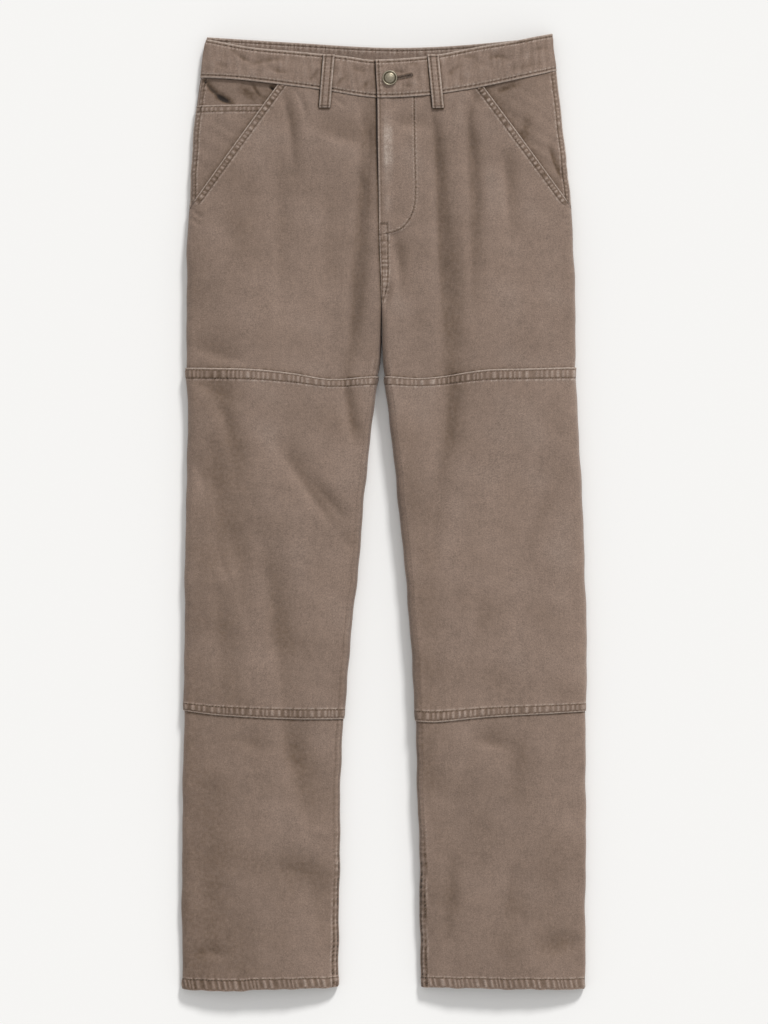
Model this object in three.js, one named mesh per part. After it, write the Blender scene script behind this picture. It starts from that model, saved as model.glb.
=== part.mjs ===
// Carpenter pants lying face up on a flat surface, waist towards +Y, the front towards +Z.
// Sizes are in millimetres. "Right" and "left" are the wearer's own, so the right leg is on the -X side.
// Every piece of cloth is a wall cut from one of two faces of the garment, front and back, which meet
// at the outseams and inseams. A place on a face is a share across it, 0 at the outseam and 1 at the
// inner edge, and a height y. A layer is a pair of distances out from the face.
import * as THREE from "three";

// Cloth and seams
const CLOTH = 1.2;
const THIN_CLOTH = 1.0;
const SEAM_GAP = 0.3;
const BAND_PROUD = 0.8;
const BAND_THICK = 2.0;
const HEM_DEEP = 12;
const HEM_EXTRA = 1.2;

// The two faces. The front turns down at its sides to a seam just above the surface, and the back lies flat
const SEAM_Z = 2.6;
const CORNER_WIDE = { front: 10, back: 3 };
const CORNER_SHARE = { front: 0.2, back: 0.1 };
const CROWN = 2.5;
const CROTCH_OPENS_Y = 262;
const CROTCH_Y = 178;
const BACK_LIFT = 2.4;
const BACK_TOP_LIFT = 5;
const LIFT_FROM_Y = 430;
const LIFT_TO_Y = 492;

// The edges of the two legs, measured on the flat garment, and the height of the front's top
const OUTLINE = [
  { y: -552, rightOut: -233, rightIn: -53, leftIn: 42.5, leftOut: 231, high: 14 },
  { y: -468, rightOut: -233, rightIn: -52, leftIn: 41, leftOut: 231.5, high: 15.5 },
  { y: -376, rightOut: -232.5, rightIn: -51, leftIn: 40, leftOut: 232, high: 16.5 },
  { y: -284, rightOut: -231.5, rightIn: -49.5, leftIn: 37, leftOut: 231.5, high: 17 },
  { y: -228, rightOut: -229.5, rightIn: -46.5, leftIn: 36, leftOut: 231.5, high: 17.5 },
  { y: -146, rightOut: -229, rightIn: -40, leftIn: 32, leftOut: 231, high: 17.5 },
  { y: -54, rightOut: -228, rightIn: -30.5, leftIn: 24, leftOut: 229, high: 18 },
  { y: 38, rightOut: -226.5, rightIn: -22.5, leftIn: 15, leftOut: 225, high: 18.5 },
  { y: 108, rightOut: -225, rightIn: -15, leftIn: 7, leftOut: 221, high: 19 },
  { y: 150, rightOut: -226, rightIn: -9, leftIn: 1.8, leftOut: 219.5, high: 19.5 },
  { y: 178, rightOut: -227.5, rightIn: -4, leftIn: -2, leftOut: 220, high: 19.5 },
  { y: 245, rightOut: -228, rightIn: -3.2, leftIn: -3.2, leftOut: 219, high: 20 },
  { y: 315, rightOut: -227, rightIn: -5.7, leftIn: -5.7, leftOut: 217, high: 20.5 },
  { y: 360, rightOut: -224.5, rightIn: -6.4, leftIn: -6.4, leftOut: 214.5, high: 20.5 },
  { y: 430, rightOut: -221, rightIn: -7.4, leftIn: -7.4, leftOut: 207.5, high: 20.5 },
  { y: 475, rightOut: -216, rightIn: -8, leftIn: -8, leftOut: 202.5, high: 20 },
  { y: 505, rightOut: -212, rightIn: -9.5, leftIn: -9.5, leftOut: 198.5, high: 19.5 },
  { y: 551, rightOut: -203.5, rightIn: -11.5, leftIn: -11.5, leftOut: 194, high: 18.5 },
];

// Edges that run across the garment, each a height y at places along x
const WAIST_SEAM = [
  { x: -214, y: 502.5 }, { x: -158, y: 497.5 }, { x: -75, y: 487 }, { x: -10, y: 477.5 },
  { x: 48, y: 480 }, { x: 112, y: 490 }, { x: 177, y: 504.5 }, { x: 202, y: 511.5 },
];
const BAND_TOP = [
  { x: -206, y: 547 }, { x: -158, y: 536.5 }, { x: -104, y: 531 }, { x: -43, y: 525 },
  { x: -12, y: 521 }, { x: 48, y: 525 }, { x: 112, y: 537 }, { x: 177, y: 547 }, { x: 196, y: 550 },
];
const BACK_WAIST_SEAM = [
  { x: -214, y: 503 }, { x: -104, y: 497 }, { x: 0, y: 493.5 }, { x: 80, y: 497.5 }, { x: 202, y: 511 },
];
const BACK_BAND_TOP = [
  { x: -206, y: 547.5 }, { x: -104, y: 539.5 }, { x: 0, y: 536 }, { x: 80, y: 540 }, { x: 196, y: 550 },
];
const KNEE_TOP = [
  { x: -230, y: 168 }, { x: -152, y: 166 }, { x: -104, y: 161 }, { x: -62, y: 154.5 }, { x: -8, y: 158 },
  { x: 37, y: 155.5 }, { x: 61, y: 157 }, { x: 116, y: 165 }, { x: 163, y: 166.5 }, { x: 222, y: 168.5 },
];
const KNEE_BOTTOM = [
  { x: -232, y: -227 }, { x: -190, y: -232 }, { x: -107, y: -236.5 }, { x: -45, y: -237 },
  { x: 35, y: -239 }, { x: 60, y: -240 }, { x: 121, y: -234 }, { x: 194, y: -230 }, { x: 233, y: -228 },
];
const HEM = [
  { x: -234, y: -548.5 }, { x: -194, y: -550 }, { x: -114, y: -547.5 }, { x: -53, y: -546.5 },
  { x: 42, y: -546 }, { x: 124, y: -547 }, { x: 174, y: -548 }, { x: 232, y: -548.5 },
];

// Slanted front pockets: the cut edge of the front runs from the waist seam to the outseam
const SLASH = {
  right: { topX: -125, topY: 489.5, bottomX: -225.5, bottomY: 351 },
  left: { topX: 115, topY: 489.5, bottomX: 217.5, bottomY: 351 },
};

// Fly: the left front laps over the right, with a turned facing inside as wide as its curved stitching
const FLY_LAP = 6;
const FLY_RAISE = 1.6;
const FLY_WIDE = 43;
const FLY_CURVE_Y = 357;
const FLY_CURVE_TALL = 38;
const FLY_EDGE_SOFT = 9;
const CROTCH_SEAM_WIDE = 9;
const LAP_ENDS_Y = 275;
const LAP_FADES = 25;
const RAISE_FADES = 40;

// Waistband ends: the left end laps over the right
const BAND_LAP = 30;
const BAND_RAISE = BAND_THICK + SEAM_GAP;
const BAND_RAISE_WIDE = 36;
const BAND_RAISE_SOFT = 30;

// Belt loops, each given by the middle of its two ends
const LOOP_WIDE = 13;
const LOOP_THICK = 1.6;
const LOOP_BOW = 0.8;
const FRONT_LOOPS = [
  { name: "belt_loop_front_right", leg: "right", topX: -63.5, topY: 527, lowX: -68.5, lowY: 466 },
  { name: "belt_loop_front_left", leg: "left", topX: 56, topY: 527, lowX: 62, lowY: 465.5 },
];
const BACK_LOOP_THICK = 1.3;
const BACK_LOOPS = [
  { name: "belt_loop_back_right", leg: "right", topX: -120, topY: 541, lowX: -124, lowY: 480 },
  { name: "belt_loop_back_centre", leg: "left", topX: 2, topY: 536, lowX: 2, lowY: 476 },
  { name: "belt_loop_back_left", leg: "left", topX: 110, topY: 542, lowX: 114, lowY: 481 },
];

// Shank button
const BUTTON = {
  x: 6.3, y: 499.5, radius: 8.5, rim: 1.3, dish: 0.7, thick: 2.2, shankRadius: 3.4, shankTall: 1, sides: 28,
};

// The largest folds of the front, soft troughs through three points each
const FOLDS = [
  { from: [60, 455], via: [74, 345], to: [80, 150], width: 11, depth: 4.2 },
  { from: [80, 160], via: [79, 85], to: [50, -30], width: 12, depth: 2.5 },
  { from: [102, 462], via: [110, 397], to: [112, 318], width: 10, depth: 2.4 },
  { from: [152, 400], via: [162, 345], to: [172, 308], width: 10, depth: 1.6 },
  { from: [-17, 400], via: [-27, 310], to: [-34, 180], width: 9, depth: 3.8 },
  { from: [-41, 188], via: [-35, 130], to: [-21, 78], width: 9, depth: 2.8 },
  { from: [-103, 480], via: [-89, 445], to: [-84, 385], width: 8, depth: 1.8 },
  { from: [-111, 468], via: [-113, 390], to: [-114, 300], width: 10, depth: 1.5 },
  { from: [-207, 140], via: [-176, 112], to: [-162, 42], width: 10, depth: 3.2 },
  { from: [-134, 122], via: [-90, 65], to: [-40, 0], width: 10, depth: 3.4 },
  { from: [-190, -35], via: [-188, -110], to: [-181, -212], width: 14, depth: 2.2 },
  { from: [-136, -40], via: [-106, -110], to: [-104, -205], width: 13, depth: 2.4 },
  { from: [212, 58], via: [182, 4], to: [155, -64], width: 13, depth: 1.7 },
  { from: [-114, -242], via: [-93, -290], to: [-66, -364], width: 10, depth: 3.2 },
  { from: [-205, -350], via: [-196, -420], to: [-190, -485], width: 20, depth: 1.8 },
  { from: [90, -384], via: [83, -440], to: [80, -500], width: 10, depth: 2.4 },
  { from: [157, -405], via: [153, -440], to: [152, -474], width: 10, depth: 2 },
  { from: [162, -255], via: [159, -290], to: [155, -326], width: 10, depth: 1.6 },
];
const FOLD_STEPS = 10;

// Rows of points run across the faces at these heights, and some of them bend to follow a seam
const LOW_Y = -550;
const HEM_TOP_Y = LOW_Y + HEM_DEEP;
const HEM_STEP = 0.5;
const KNEE_BOTTOM_Y = -234;
const KNEE_TOP_Y = 162;
const MOUTH_LOW_Y = 351;
const POCKET_LOW_Y = 353;
const COIN_POCKET_TOP_Y = 470;
const HIGH_Y = 500;
const BEND_FADES = 40;

// A place on a bent row is found in a few passes, as its x and its height depend on each other
const PASSES = 4;

// How finely the pieces are cut
const FRONT_ROWS = [
  LOW_Y, HEM_TOP_Y, HEM_TOP_Y + HEM_STEP, -500, -460, -425, -390, -350, -310, -275, KNEE_BOTTOM_Y, -195,
  -150, -105, -65, -25, 15, 50, 80, 108, 135, KNEE_TOP_Y, 190, 220, 245, 262, 285, 310, 335, MOUTH_LOW_Y,
  POCKET_LOW_Y, 362, 380, 400, 430, 452, COIN_POCKET_TOP_Y, HIGH_Y,
];
const BACK_ROWS = [
  LOW_Y, HEM_TOP_Y, HEM_TOP_Y + HEM_STEP, -462, -376, -284, -200, -120, -54, 38, 108, 150, 178, 200, 225,
  262, 315, 400, 440, 470, HIGH_Y,
];
const FRONT_COLUMNS = 18;
const BACK_COLUMNS = 11;
const BAND_COLUMNS = 15;
const BAND_ROWS = 4;
const LOOP_COLUMNS = 3;
const LOOP_ROWS = 8;
const MOUTH_SHARES = [-1, -0.8, -0.6, -0.4, -0.2, 0];

const CLOTH_COLOUR = new THREE.Color(0.238, 0.17, 0.133);
const METAL_COLOUR = new THREE.Color(0.36, 0.32, 0.25);

const clamp = (value, low = 0, high = 1) => Math.min(high, Math.max(low, value));
const mix = (a, b, share) => a + (b - a) * share;
const easeBetween = (low, high, value) => {
  const t = clamp((value - low) / (high - low));
  return t * t * (3 - 2 * t);
};

// A smooth curve through a table's rows, read from one named column against another.
function curveThrough(rows, along, column) {
  const slopeAt = (i) => {
    const before = rows[Math.max(i - 1, 0)];
    const after = rows[Math.min(i + 1, rows.length - 1)];
    return (after[column] - before[column]) / (after[along] - before[along]);
  };
  return (place) => {
    const at = clamp(place, rows[0][along], rows[rows.length - 1][along]);
    let i = 0;
    while (i < rows.length - 2 && at > rows[i + 1][along]) i++;
    const span = rows[i + 1][along] - rows[i][along];
    const t = (at - rows[i][along]) / span;
    const ease = t * t * (3 - 2 * t);
    const leave = t * (1 - t) * (1 - t) * span * slopeAt(i);
    const arrive = t * t * (1 - t) * span * slopeAt(i + 1);
    return mix(rows[i][column], rows[i + 1][column], ease) + leave - arrive;
  };
}

const outlineOf = Object.fromEntries(
  ["rightOut", "rightIn", "leftIn", "leftOut", "high"].map((c) => [c, curveThrough(OUTLINE, "y", c)]),
);
const waistSeam = curveThrough(WAIST_SEAM, "x", "y");
const bandTop = curveThrough(BAND_TOP, "x", "y");
const backWaistSeam = curveThrough(BACK_WAIST_SEAM, "x", "y");
const backBandTop = curveThrough(BACK_BAND_TOP, "x", "y");
const kneeTop = curveThrough(KNEE_TOP, "x", "y");
const kneeBottom = curveThrough(KNEE_BOTTOM, "x", "y");
const hemLine = curveThrough(HEM, "x", "y");

// Each fold as a chain of points on a curve that passes through its middle one.
const foldChains = FOLDS.map(({ from, via, to, width, depth }) => {
  const bend = (k) => 2 * via[k] - (from[k] + to[k]) / 2;
  const curve = new THREE.QuadraticBezierCurve(
    new THREE.Vector2(...from),
    new THREE.Vector2(bend(0), bend(1)),
    new THREE.Vector2(...to),
  );
  return { width, depth, points: curve.getPoints(FOLD_STEPS) };
});

// How far the folds press the front in at a place, each fading out along its length and to its sides.
function foldDepth(x, y) {
  const place = new THREE.Vector2(x, y);
  let depth = 0;
  for (const fold of foldChains) {
    let nearest = Infinity;
    let along = 0;
    fold.points.slice(1).forEach((end, i) => {
      const start = fold.points[i];
      const step = end.clone().sub(start);
      const t = clamp(place.clone().sub(start).dot(step) / step.lengthSq());
      const away = place.distanceTo(start.clone().addScaledVector(step, t));
      if (away < nearest) {
        nearest = away;
        along = (i + t) / FOLD_STEPS;
      }
    });
    const fade = Math.sqrt(Math.sin(Math.PI * clamp(along, 0.02, 0.98)));
    depth += fold.depth * fade * Math.exp(-((nearest / fold.width) ** 2));
  }
  return depth;
}

// The edges and heights of one leg's face at a height y. lap carries the inner edge on, under its neighbour.
function sectionAt(leg, y, lap = 0) {
  const gap = SEAM_GAP / 2;
  const lift =
    BACK_LIFT * easeBetween(LIFT_FROM_Y, LIFT_TO_Y, y) +
    (BACK_TOP_LIFT - BACK_LIFT) * easeBetween(LIFT_TO_Y, BACK_BAND_TOP[0].y, y);
  return {
    outer: leg === "right" ? outlineOf.rightOut(y) : outlineOf.leftOut(y),
    inner: leg === "right" ? outlineOf.rightIn(y) - gap + lap : outlineOf.leftIn(y) + gap,
    high: outlineOf.high(y),
    turned: 1 - easeBetween(CROTCH_Y, CROTCH_OPENS_Y, y),
    lift,
    seam: SEAM_Z + lift,
  };
}

// A point on the face itself.
function facePoint(face, leg, across, y, lap) {
  const { outer, inner, high, turned, lift, seam } = sectionAt(leg, y, lap);
  const wide = Math.abs(inner - outer);
  const cornerWide = CORNER_WIDE[face];
  const cornerShare = CORNER_SHARE[face];
  let run;
  let turn = 1;
  let flat = 0;
  if (across < cornerShare) {
    const angle = ((across / cornerShare) * Math.PI) / 2;
    run = cornerWide * (1 - Math.cos(angle));
    turn = Math.sin(angle);
  } else if (across > 1 - cornerShare) {
    const angle = (((1 - across) / cornerShare) * Math.PI) / 2;
    run = wide - cornerWide * (1 - Math.cos(angle));
    turn = 1 - turned * (1 - Math.sin(angle));
    flat = 1;
  } else {
    flat = (across - cornerShare) / (1 - 2 * cornerShare);
    run = mix(cornerWide, wide - cornerWide, flat);
  }
  const x = outer + Math.sign(inner - outer) * run;
  if (face === "back") return new THREE.Vector3(x, y, mix(seam - SEAM_GAP / 2, lift, turn));
  const crown = CROWN * mix(Math.sin((Math.PI / 2) * flat), Math.sin(Math.PI * flat), turned);
  const top = high + crown - foldDepth(x, y);
  return new THREE.Vector3(x, y, mix(seam + SEAM_GAP / 2, top, turn));
}

// A point that lies off the face, along its outward normal.
function pointOff(face, leg, across, y, off, lap) {
  const STEP = 1e-3;
  const a = clamp(across, STEP, 1 - STEP);
  const acrossWay = facePoint(face, leg, a + STEP, y, lap).sub(facePoint(face, leg, a - STEP, y, lap));
  const upWay = facePoint(face, leg, a, y + STEP, lap).sub(facePoint(face, leg, a, y - STEP, lap));
  const sense = (leg === "right" ? 1 : -1) * (face === "front" ? 1 : -1);
  const normal = acrossWay.cross(upWay).normalize().multiplyScalar(sense);
  return facePoint(face, leg, across, y, lap).addScaledVector(normal, off);
}

// The share across a face at which it has a given x.
function acrossAt(face, leg, x, y, lap = 0) {
  const { outer, inner } = sectionAt(leg, y, lap);
  const wide = Math.abs(inner - outer);
  const cornerWide = CORNER_WIDE[face];
  const cornerShare = CORNER_SHARE[face];
  const run = clamp((x - outer) * Math.sign(inner - outer), 0, wide);
  const shareIn = (left) => (Math.acos(1 - left / cornerWide) / (Math.PI / 2)) * cornerShare;
  if (run < cornerWide) return shareIn(run);
  if (run > wide - cornerWide) return 1 - shareIn(wide - run);
  return mix(cornerShare, 1 - cornerShare, (run - cornerWide) / (wide - 2 * cornerWide));
}

// The closed wall between an upper and a lower net of points, both with x growing along their rows.
function wallBetween(upper, lower) {
  const rows = upper.length;
  const columns = upper[0].length;
  const upperAt = (j, i) => j * columns + i;
  const lowerAt = (j, i) => rows * columns + j * columns + i;
  const index = [];
  const quad = (a, b, c, d) => index.push(a, b, c, a, c, d);
  for (let j = 0; j < rows - 1; j++) {
    for (let i = 0; i < columns - 1; i++) {
      quad(upperAt(j, i), upperAt(j, i + 1), upperAt(j + 1, i + 1), upperAt(j + 1, i));
      quad(lowerAt(j, i), lowerAt(j + 1, i), lowerAt(j + 1, i + 1), lowerAt(j, i + 1));
    }
    const last = columns - 1;
    quad(upperAt(j, 0), upperAt(j + 1, 0), lowerAt(j + 1, 0), lowerAt(j, 0));
    quad(upperAt(j + 1, last), upperAt(j, last), lowerAt(j, last), lowerAt(j + 1, last));
  }
  for (let i = 0; i < columns - 1; i++) {
    const last = rows - 1;
    quad(upperAt(0, i + 1), upperAt(0, i), lowerAt(0, i), lowerAt(0, i + 1));
    quad(upperAt(last, i), upperAt(last, i + 1), lowerAt(last, i + 1), lowerAt(last, i));
  }
  const points = [...upper.flat(), ...lower.flat()];
  return new THREE.BufferGeometry().setFromPoints(points).setIndex(index);
}

// A net of points over part of a face. place(share, row) gives each point's { across, y, layer: [out, in] }.
function netsOver(face, leg, shares, rows, place, lap = () => 0) {
  const outer = [];
  const inner = [];
  const ordered = leg === "left" ? shares.toReversed() : shares;
  for (const row of rows) {
    const places = ordered.map((share) => place(share, row));
    outer.push(places.map(({ across, y, layer }) => pointOff(face, leg, across, y, layer[0], lap(y))));
    inner.push(places.map(({ across, y, layer }) => pointOff(face, leg, across, y, layer[1], lap(y))));
  }
  return { outer, inner };
}

// The outer net is the upper one on the front, and the lower one on the back, which faces the floor.
const wallOf = (face, { outer, inner }) =>
  face === "front" ? wallBetween(outer, inner) : wallBetween(inner, outer);
const wallOver = (face, ...over) => wallOf(face, netsOver(face, ...over));

const evenShares = (count) => Array.from({ length: count }, (_, i) => i / (count - 1));

// Each bend takes one row onto its line, and leaves the rows beyond its fade straight.
const level = (y) => () => y;
const bendsAt = (y, line) => [
  { y: y - BEND_FADES, line: level(y - BEND_FADES) },
  { y, line },
  { y: y + BEND_FADES, line: level(y + BEND_FADES) },
];
const hemBends = [
  { y: LOW_Y, line: hemLine },
  { y: LOW_Y + BEND_FADES, line: level(LOW_Y + BEND_FADES) },
];
const waistBends = (seam) => [
  { y: COIN_POCKET_TOP_Y, line: level(COIN_POCKET_TOP_Y) },
  { y: HIGH_Y, line: (x) => seam(x) - SEAM_GAP },
];
const FRONT_BENDS = [
  ...hemBends, ...bendsAt(KNEE_BOTTOM_Y, kneeBottom), ...bendsAt(KNEE_TOP_Y, kneeTop),
  ...waistBends(waistSeam),
];
const BACK_BENDS = [...hemBends, ...waistBends(backWaistSeam)];

function heightOfRow(row, x, bends) {
  let i = 0;
  while (i < bends.length - 2 && row > bends[i + 1].y) i++;
  const [low, high] = [bends[i], bends[i + 1]];
  return mix(low.line(x), high.line(x), (row - low.y) / (high.y - low.y));
}

// How far the left front stands up over the right front, the fly facing and the crotch seam.
function flyRaise(x, y) {
  const fromEdge = x - outlineOf.leftIn(y);
  const curve = clamp((FLY_CURVE_Y - y) / FLY_CURVE_TALL);
  const wide = Math.max(FLY_WIDE * Math.sqrt(1 - curve * curve), CROTCH_SEAM_WIDE);
  const sideways = 1 - easeBetween(wide - FLY_EDGE_SOFT / 2, wide + FLY_EDGE_SOFT, fromEdge);
  return FLY_RAISE * sideways * easeBetween(LAP_ENDS_Y - RAISE_FADES, LAP_ENDS_Y, y);
}

const flyLap = (y) => (FLY_LAP + SEAM_GAP) * easeBetween(LAP_ENDS_Y, LAP_ENDS_Y + LAP_FADES, y);

function slashX(leg, y) {
  const { topX, topY, bottomX, bottomY } = SLASH[leg];
  return mix(bottomX, topX, (y - bottomY) / (topY - bottomY));
}

// The cloth turned up inside a hem makes the wall thicker there.
const hemLayer = (row) => (row <= HEM_TOP_Y ? HEM_EXTRA : 0);

// The right front's inner edge runs on under the left.
const frontLap = (leg) => (leg === "right" ? flyLap : () => 0);

// Where a share of the front panel lies in a row, from the pocket's mouth, or the outseam, to its inner edge.
// A negative share lies in the mouth itself, and is -1 at the outseam.
function placeOnFront(leg, share, row) {
  const lap = frontLap(leg);
  let across = Math.max(share, 0);
  let y = row;
  for (let pass = 0; pass < PASSES; pass++) {
    const edge = row > MOUTH_LOW_Y ? acrossAt("front", leg, slashX(leg, y), y, lap(y)) : 0;
    across = share < 0 ? edge * (1 + share) : mix(edge, 1, share);
    y = heightOfRow(row, facePoint("front", leg, across, y, lap(y)).x, FRONT_BENDS);
  }
  return { across, y };
}

function frontPanel(leg) {
  const place = (share, row) => {
    const { across, y } = placeOnFront(leg, share, row);
    const raise = leg === "left" ? flyRaise(facePoint("front", leg, across, y).x, y) : 0;
    return { across, y, layer: [raise, raise - CLOTH - hemLayer(row)] };
  };
  return wallOver("front", leg, evenShares(FRONT_COLUMNS), FRONT_ROWS, place, frontLap(leg));
}

function backPanel(leg) {
  const place = (across, row) => {
    const y = heightOfRow(row, facePoint("back", leg, across, row).x, BACK_BENDS);
    return { across, y, layer: [0, -CLOTH - hemLayer(row)] };
  };
  return wallOver("back", leg, evenShares(BACK_COLUMNS), BACK_ROWS, place);
}

// The double-knee panel lies on the front from mid thigh to below the knee.
function kneePanel(leg) {
  const rows = FRONT_ROWS.filter((row) => row >= KNEE_BOTTOM_Y && row <= KNEE_TOP_Y);
  const place = (share, row) => ({ ...placeOnFront(leg, share, row), layer: [SEAM_GAP + CLOTH, SEAM_GAP] });
  return wallOver("front", leg, evenShares(FRONT_COLUMNS), rows, place);
}

// A side piece shows in a slanted pocket's mouth and runs one column of points under the front. The coin
// pocket is cut to the same width, and lies between the two. Level with the outseam, they step down to the
// front's inner side. depth is how far further in a piece lies than the uppermost one.
function pocketPiece(leg, topRow, depth) {
  const shares = [...MOUTH_SHARES, 1 / (FRONT_COLUMNS - 1)];
  const rows = FRONT_ROWS.filter((row) => row >= POCKET_LOW_Y && row <= topRow);
  const place = (share, row) => {
    const out = -(CLOTH + SEAM_GAP) * Math.min(1 + share, 1) - depth;
    return { ...placeOnFront(leg, share, row), layer: [out, out - THIN_CLOTH] };
  };
  return wallOver("front", leg, shares, rows, place, frontLap(leg));
}

const bandLayer = (raise) => [BAND_PROUD + raise, BAND_PROUD + raise - BAND_THICK];

function bandRaise(x, y) {
  const fromEnd = x - outlineOf.leftIn(y);
  return BAND_RAISE * (1 - easeBetween(BAND_RAISE_WIDE, BAND_RAISE_WIDE + BAND_RAISE_SOFT, fromEnd));
}

function frontBand(leg) {
  const lap = leg === "right" ? () => BAND_LAP : () => 0;
  const place = (across, v) => {
    let y = HIGH_Y;
    for (let pass = 0; pass < PASSES; pass++) {
      const { x } = facePoint("front", leg, across, y, lap(y));
      y = mix(waistSeam(x), bandTop(x), v);
    }
    const { x } = facePoint("front", leg, across, y, lap(y));
    return { across, y, layer: bandLayer(leg === "left" ? bandRaise(x, y) : 0) };
  };
  return wallOver("front", leg, evenShares(BAND_COLUMNS), evenShares(BAND_ROWS), place, lap);
}

// The back of the waistband is one piece, from one side fold to the other.
function backBand() {
  const halves = ["right", "left"].map((leg) => {
    const place = (across, v) => {
      let y = HIGH_Y;
      for (let pass = 0; pass < PASSES; pass++) {
        const { x } = facePoint("back", leg, across, y);
        y = mix(backWaistSeam(x), backBandTop(x), v);
      }
      return { across, y, layer: bandLayer(0) };
    };
    return netsOver("back", leg, evenShares(BACK_COLUMNS), evenShares(BAND_ROWS), place);
  });
  const joinRows = (row, j, net) => [...row.slice(0, -1), ...halves[1][net][j].slice(1)];
  const joined = (net) => halves[0][net].map((row, j) => joinRows(row, j, net));
  return wallOf("back", { outer: joined("outer"), inner: joined("inner") });
}

// A belt loop follows the band, and its free lower end comes down onto the panel below it.
function beltLoop(face, { leg, topX, topY, lowX, lowY }, thick, bow) {
  const lap = face === "front" && leg === "right" ? BAND_LAP : 0;
  const seam = face === "front" ? waistSeam : backWaistSeam;
  const place = (s, v) => {
    const sideways = (leg === "right" ? s - 0.5 : 0.5 - s) * LOOP_WIDE;
    const x = mix(lowX, topX, v) + sideways;
    const y = mix(lowY, topY, v);
    const onBand = easeBetween(seam(x) - LOOP_WIDE, seam(x) - SEAM_GAP, y);
    const under = mix(SEAM_GAP * 2, BAND_PROUD + SEAM_GAP, onBand) + bow * Math.sin(Math.PI * v);
    return { across: acrossAt(face, leg, x, y, lap), y, layer: [under + thick, under] };
  };
  return wallOver(face, leg, evenShares(LOOP_COLUMNS), evenShares(LOOP_ROWS), place, () => lap);
}

// A disc with a rounded rim and a shallow dish in its top, on a short shank.
function shankButton() {
  const { radius, rim, dish, thick, shankRadius, shankTall, sides } = BUTTON;
  const rise = (share) => shankTall + thick * share;
  const profile = [
    [0, 0], [shankRadius, 0], [shankRadius, shankTall], [radius - rim, rise(0)], [radius, rise(0.4)],
    [radius - rim * 0.3, rise(0.85)], [radius - rim, rise(1)], [radius - rim * 2, rise(1) - dish],
    [radius * 0.3, rise(1) - dish * 0.6], [0, rise(1) - dish * 0.5],
  ].map(([r, z]) => new THREE.Vector2(r, z));
  const geometry = new THREE.LatheGeometry(profile, sides);
  geometry.rotateX(Math.PI / 2);
  return geometry;
}

const cloth = () => new THREE.MeshStandardMaterial({ color: CLOTH_COLOUR, roughness: 0.9, metalness: 0 });
const metal = () => new THREE.MeshStandardMaterial({ color: METAL_COLOUR, roughness: 0.4, metalness: 0.9 });

const pants = new THREE.Group();
pants.name = "carpenter_pants";

function add(name, geometry, material = cloth()) {
  geometry.computeVertexNormals();
  const mesh = new THREE.Mesh(geometry, material);
  mesh.name = name;
  pants.add(mesh);
  return mesh;
}

for (const leg of ["right", "left"]) {
  add(`back_${leg}`, backPanel(leg));
  add(`front_${leg}`, frontPanel(leg));
  add(`knee_panel_${leg}`, kneePanel(leg));
  add(`pocket_facing_${leg}`, pocketPiece(leg, HIGH_Y, leg === "right" ? THIN_CLOTH + SEAM_GAP : 0));
  add(`waistband_${leg}`, frontBand(leg));
}
add("coin_pocket", pocketPiece("right", COIN_POCKET_TOP_Y, 0));
add("waistband_back", backBand());
FRONT_LOOPS.forEach((loop) => add(loop.name, beltLoop("front", loop, LOOP_THICK, LOOP_BOW)));
BACK_LOOPS.forEach((loop) => add(loop.name, beltLoop("back", loop, BACK_LOOP_THICK, 0)));

const button = add("button", shankButton(), metal());
const buttonSeat = BAND_PROUD + BAND_RAISE + SEAM_GAP;
const buttonAcross = acrossAt("front", "left", BUTTON.x, BUTTON.y);
const buttonBase = facePoint("front", "left", buttonAcross, BUTTON.y);
button.position.set(BUTTON.x, BUTTON.y, buttonBase.z + buttonSeat);

export default pants;
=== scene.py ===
import math

import bpy
import numpy as np
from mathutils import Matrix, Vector


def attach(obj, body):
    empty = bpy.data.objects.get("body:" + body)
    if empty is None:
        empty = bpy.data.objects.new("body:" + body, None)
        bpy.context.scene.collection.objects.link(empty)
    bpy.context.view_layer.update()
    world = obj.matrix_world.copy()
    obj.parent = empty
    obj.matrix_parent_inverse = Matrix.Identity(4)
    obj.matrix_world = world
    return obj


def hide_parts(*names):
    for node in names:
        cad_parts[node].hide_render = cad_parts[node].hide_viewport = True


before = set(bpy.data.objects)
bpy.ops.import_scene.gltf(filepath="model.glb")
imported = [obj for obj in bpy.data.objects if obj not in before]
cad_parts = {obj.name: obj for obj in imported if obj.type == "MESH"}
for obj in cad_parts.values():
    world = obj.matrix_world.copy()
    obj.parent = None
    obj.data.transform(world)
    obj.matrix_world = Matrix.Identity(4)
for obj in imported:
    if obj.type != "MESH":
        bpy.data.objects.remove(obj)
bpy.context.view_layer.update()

# Carpenter pants laid flat, front up, with the waist towards +Y. Sizes are in millimetres until a mesh is
# made. "Right" and "left" are the wearer's own, so the right leg is on the -X side. A place on a face is a
# share across it, 0 at the outseam and 1 at the inner edge, and a height y, as in the part's source.
MM = 0.001

# Cloth and seams
CLOTH = 1.2
THIN_CLOTH = 1.0
SEAM_GAP = 0.3
BAND_PROUD = 0.8
BAND_THICK = 2.0
HEM_DEEP = 12
HEM_EXTRA = 1.2
HEM_WAVE = 0.6

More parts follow.
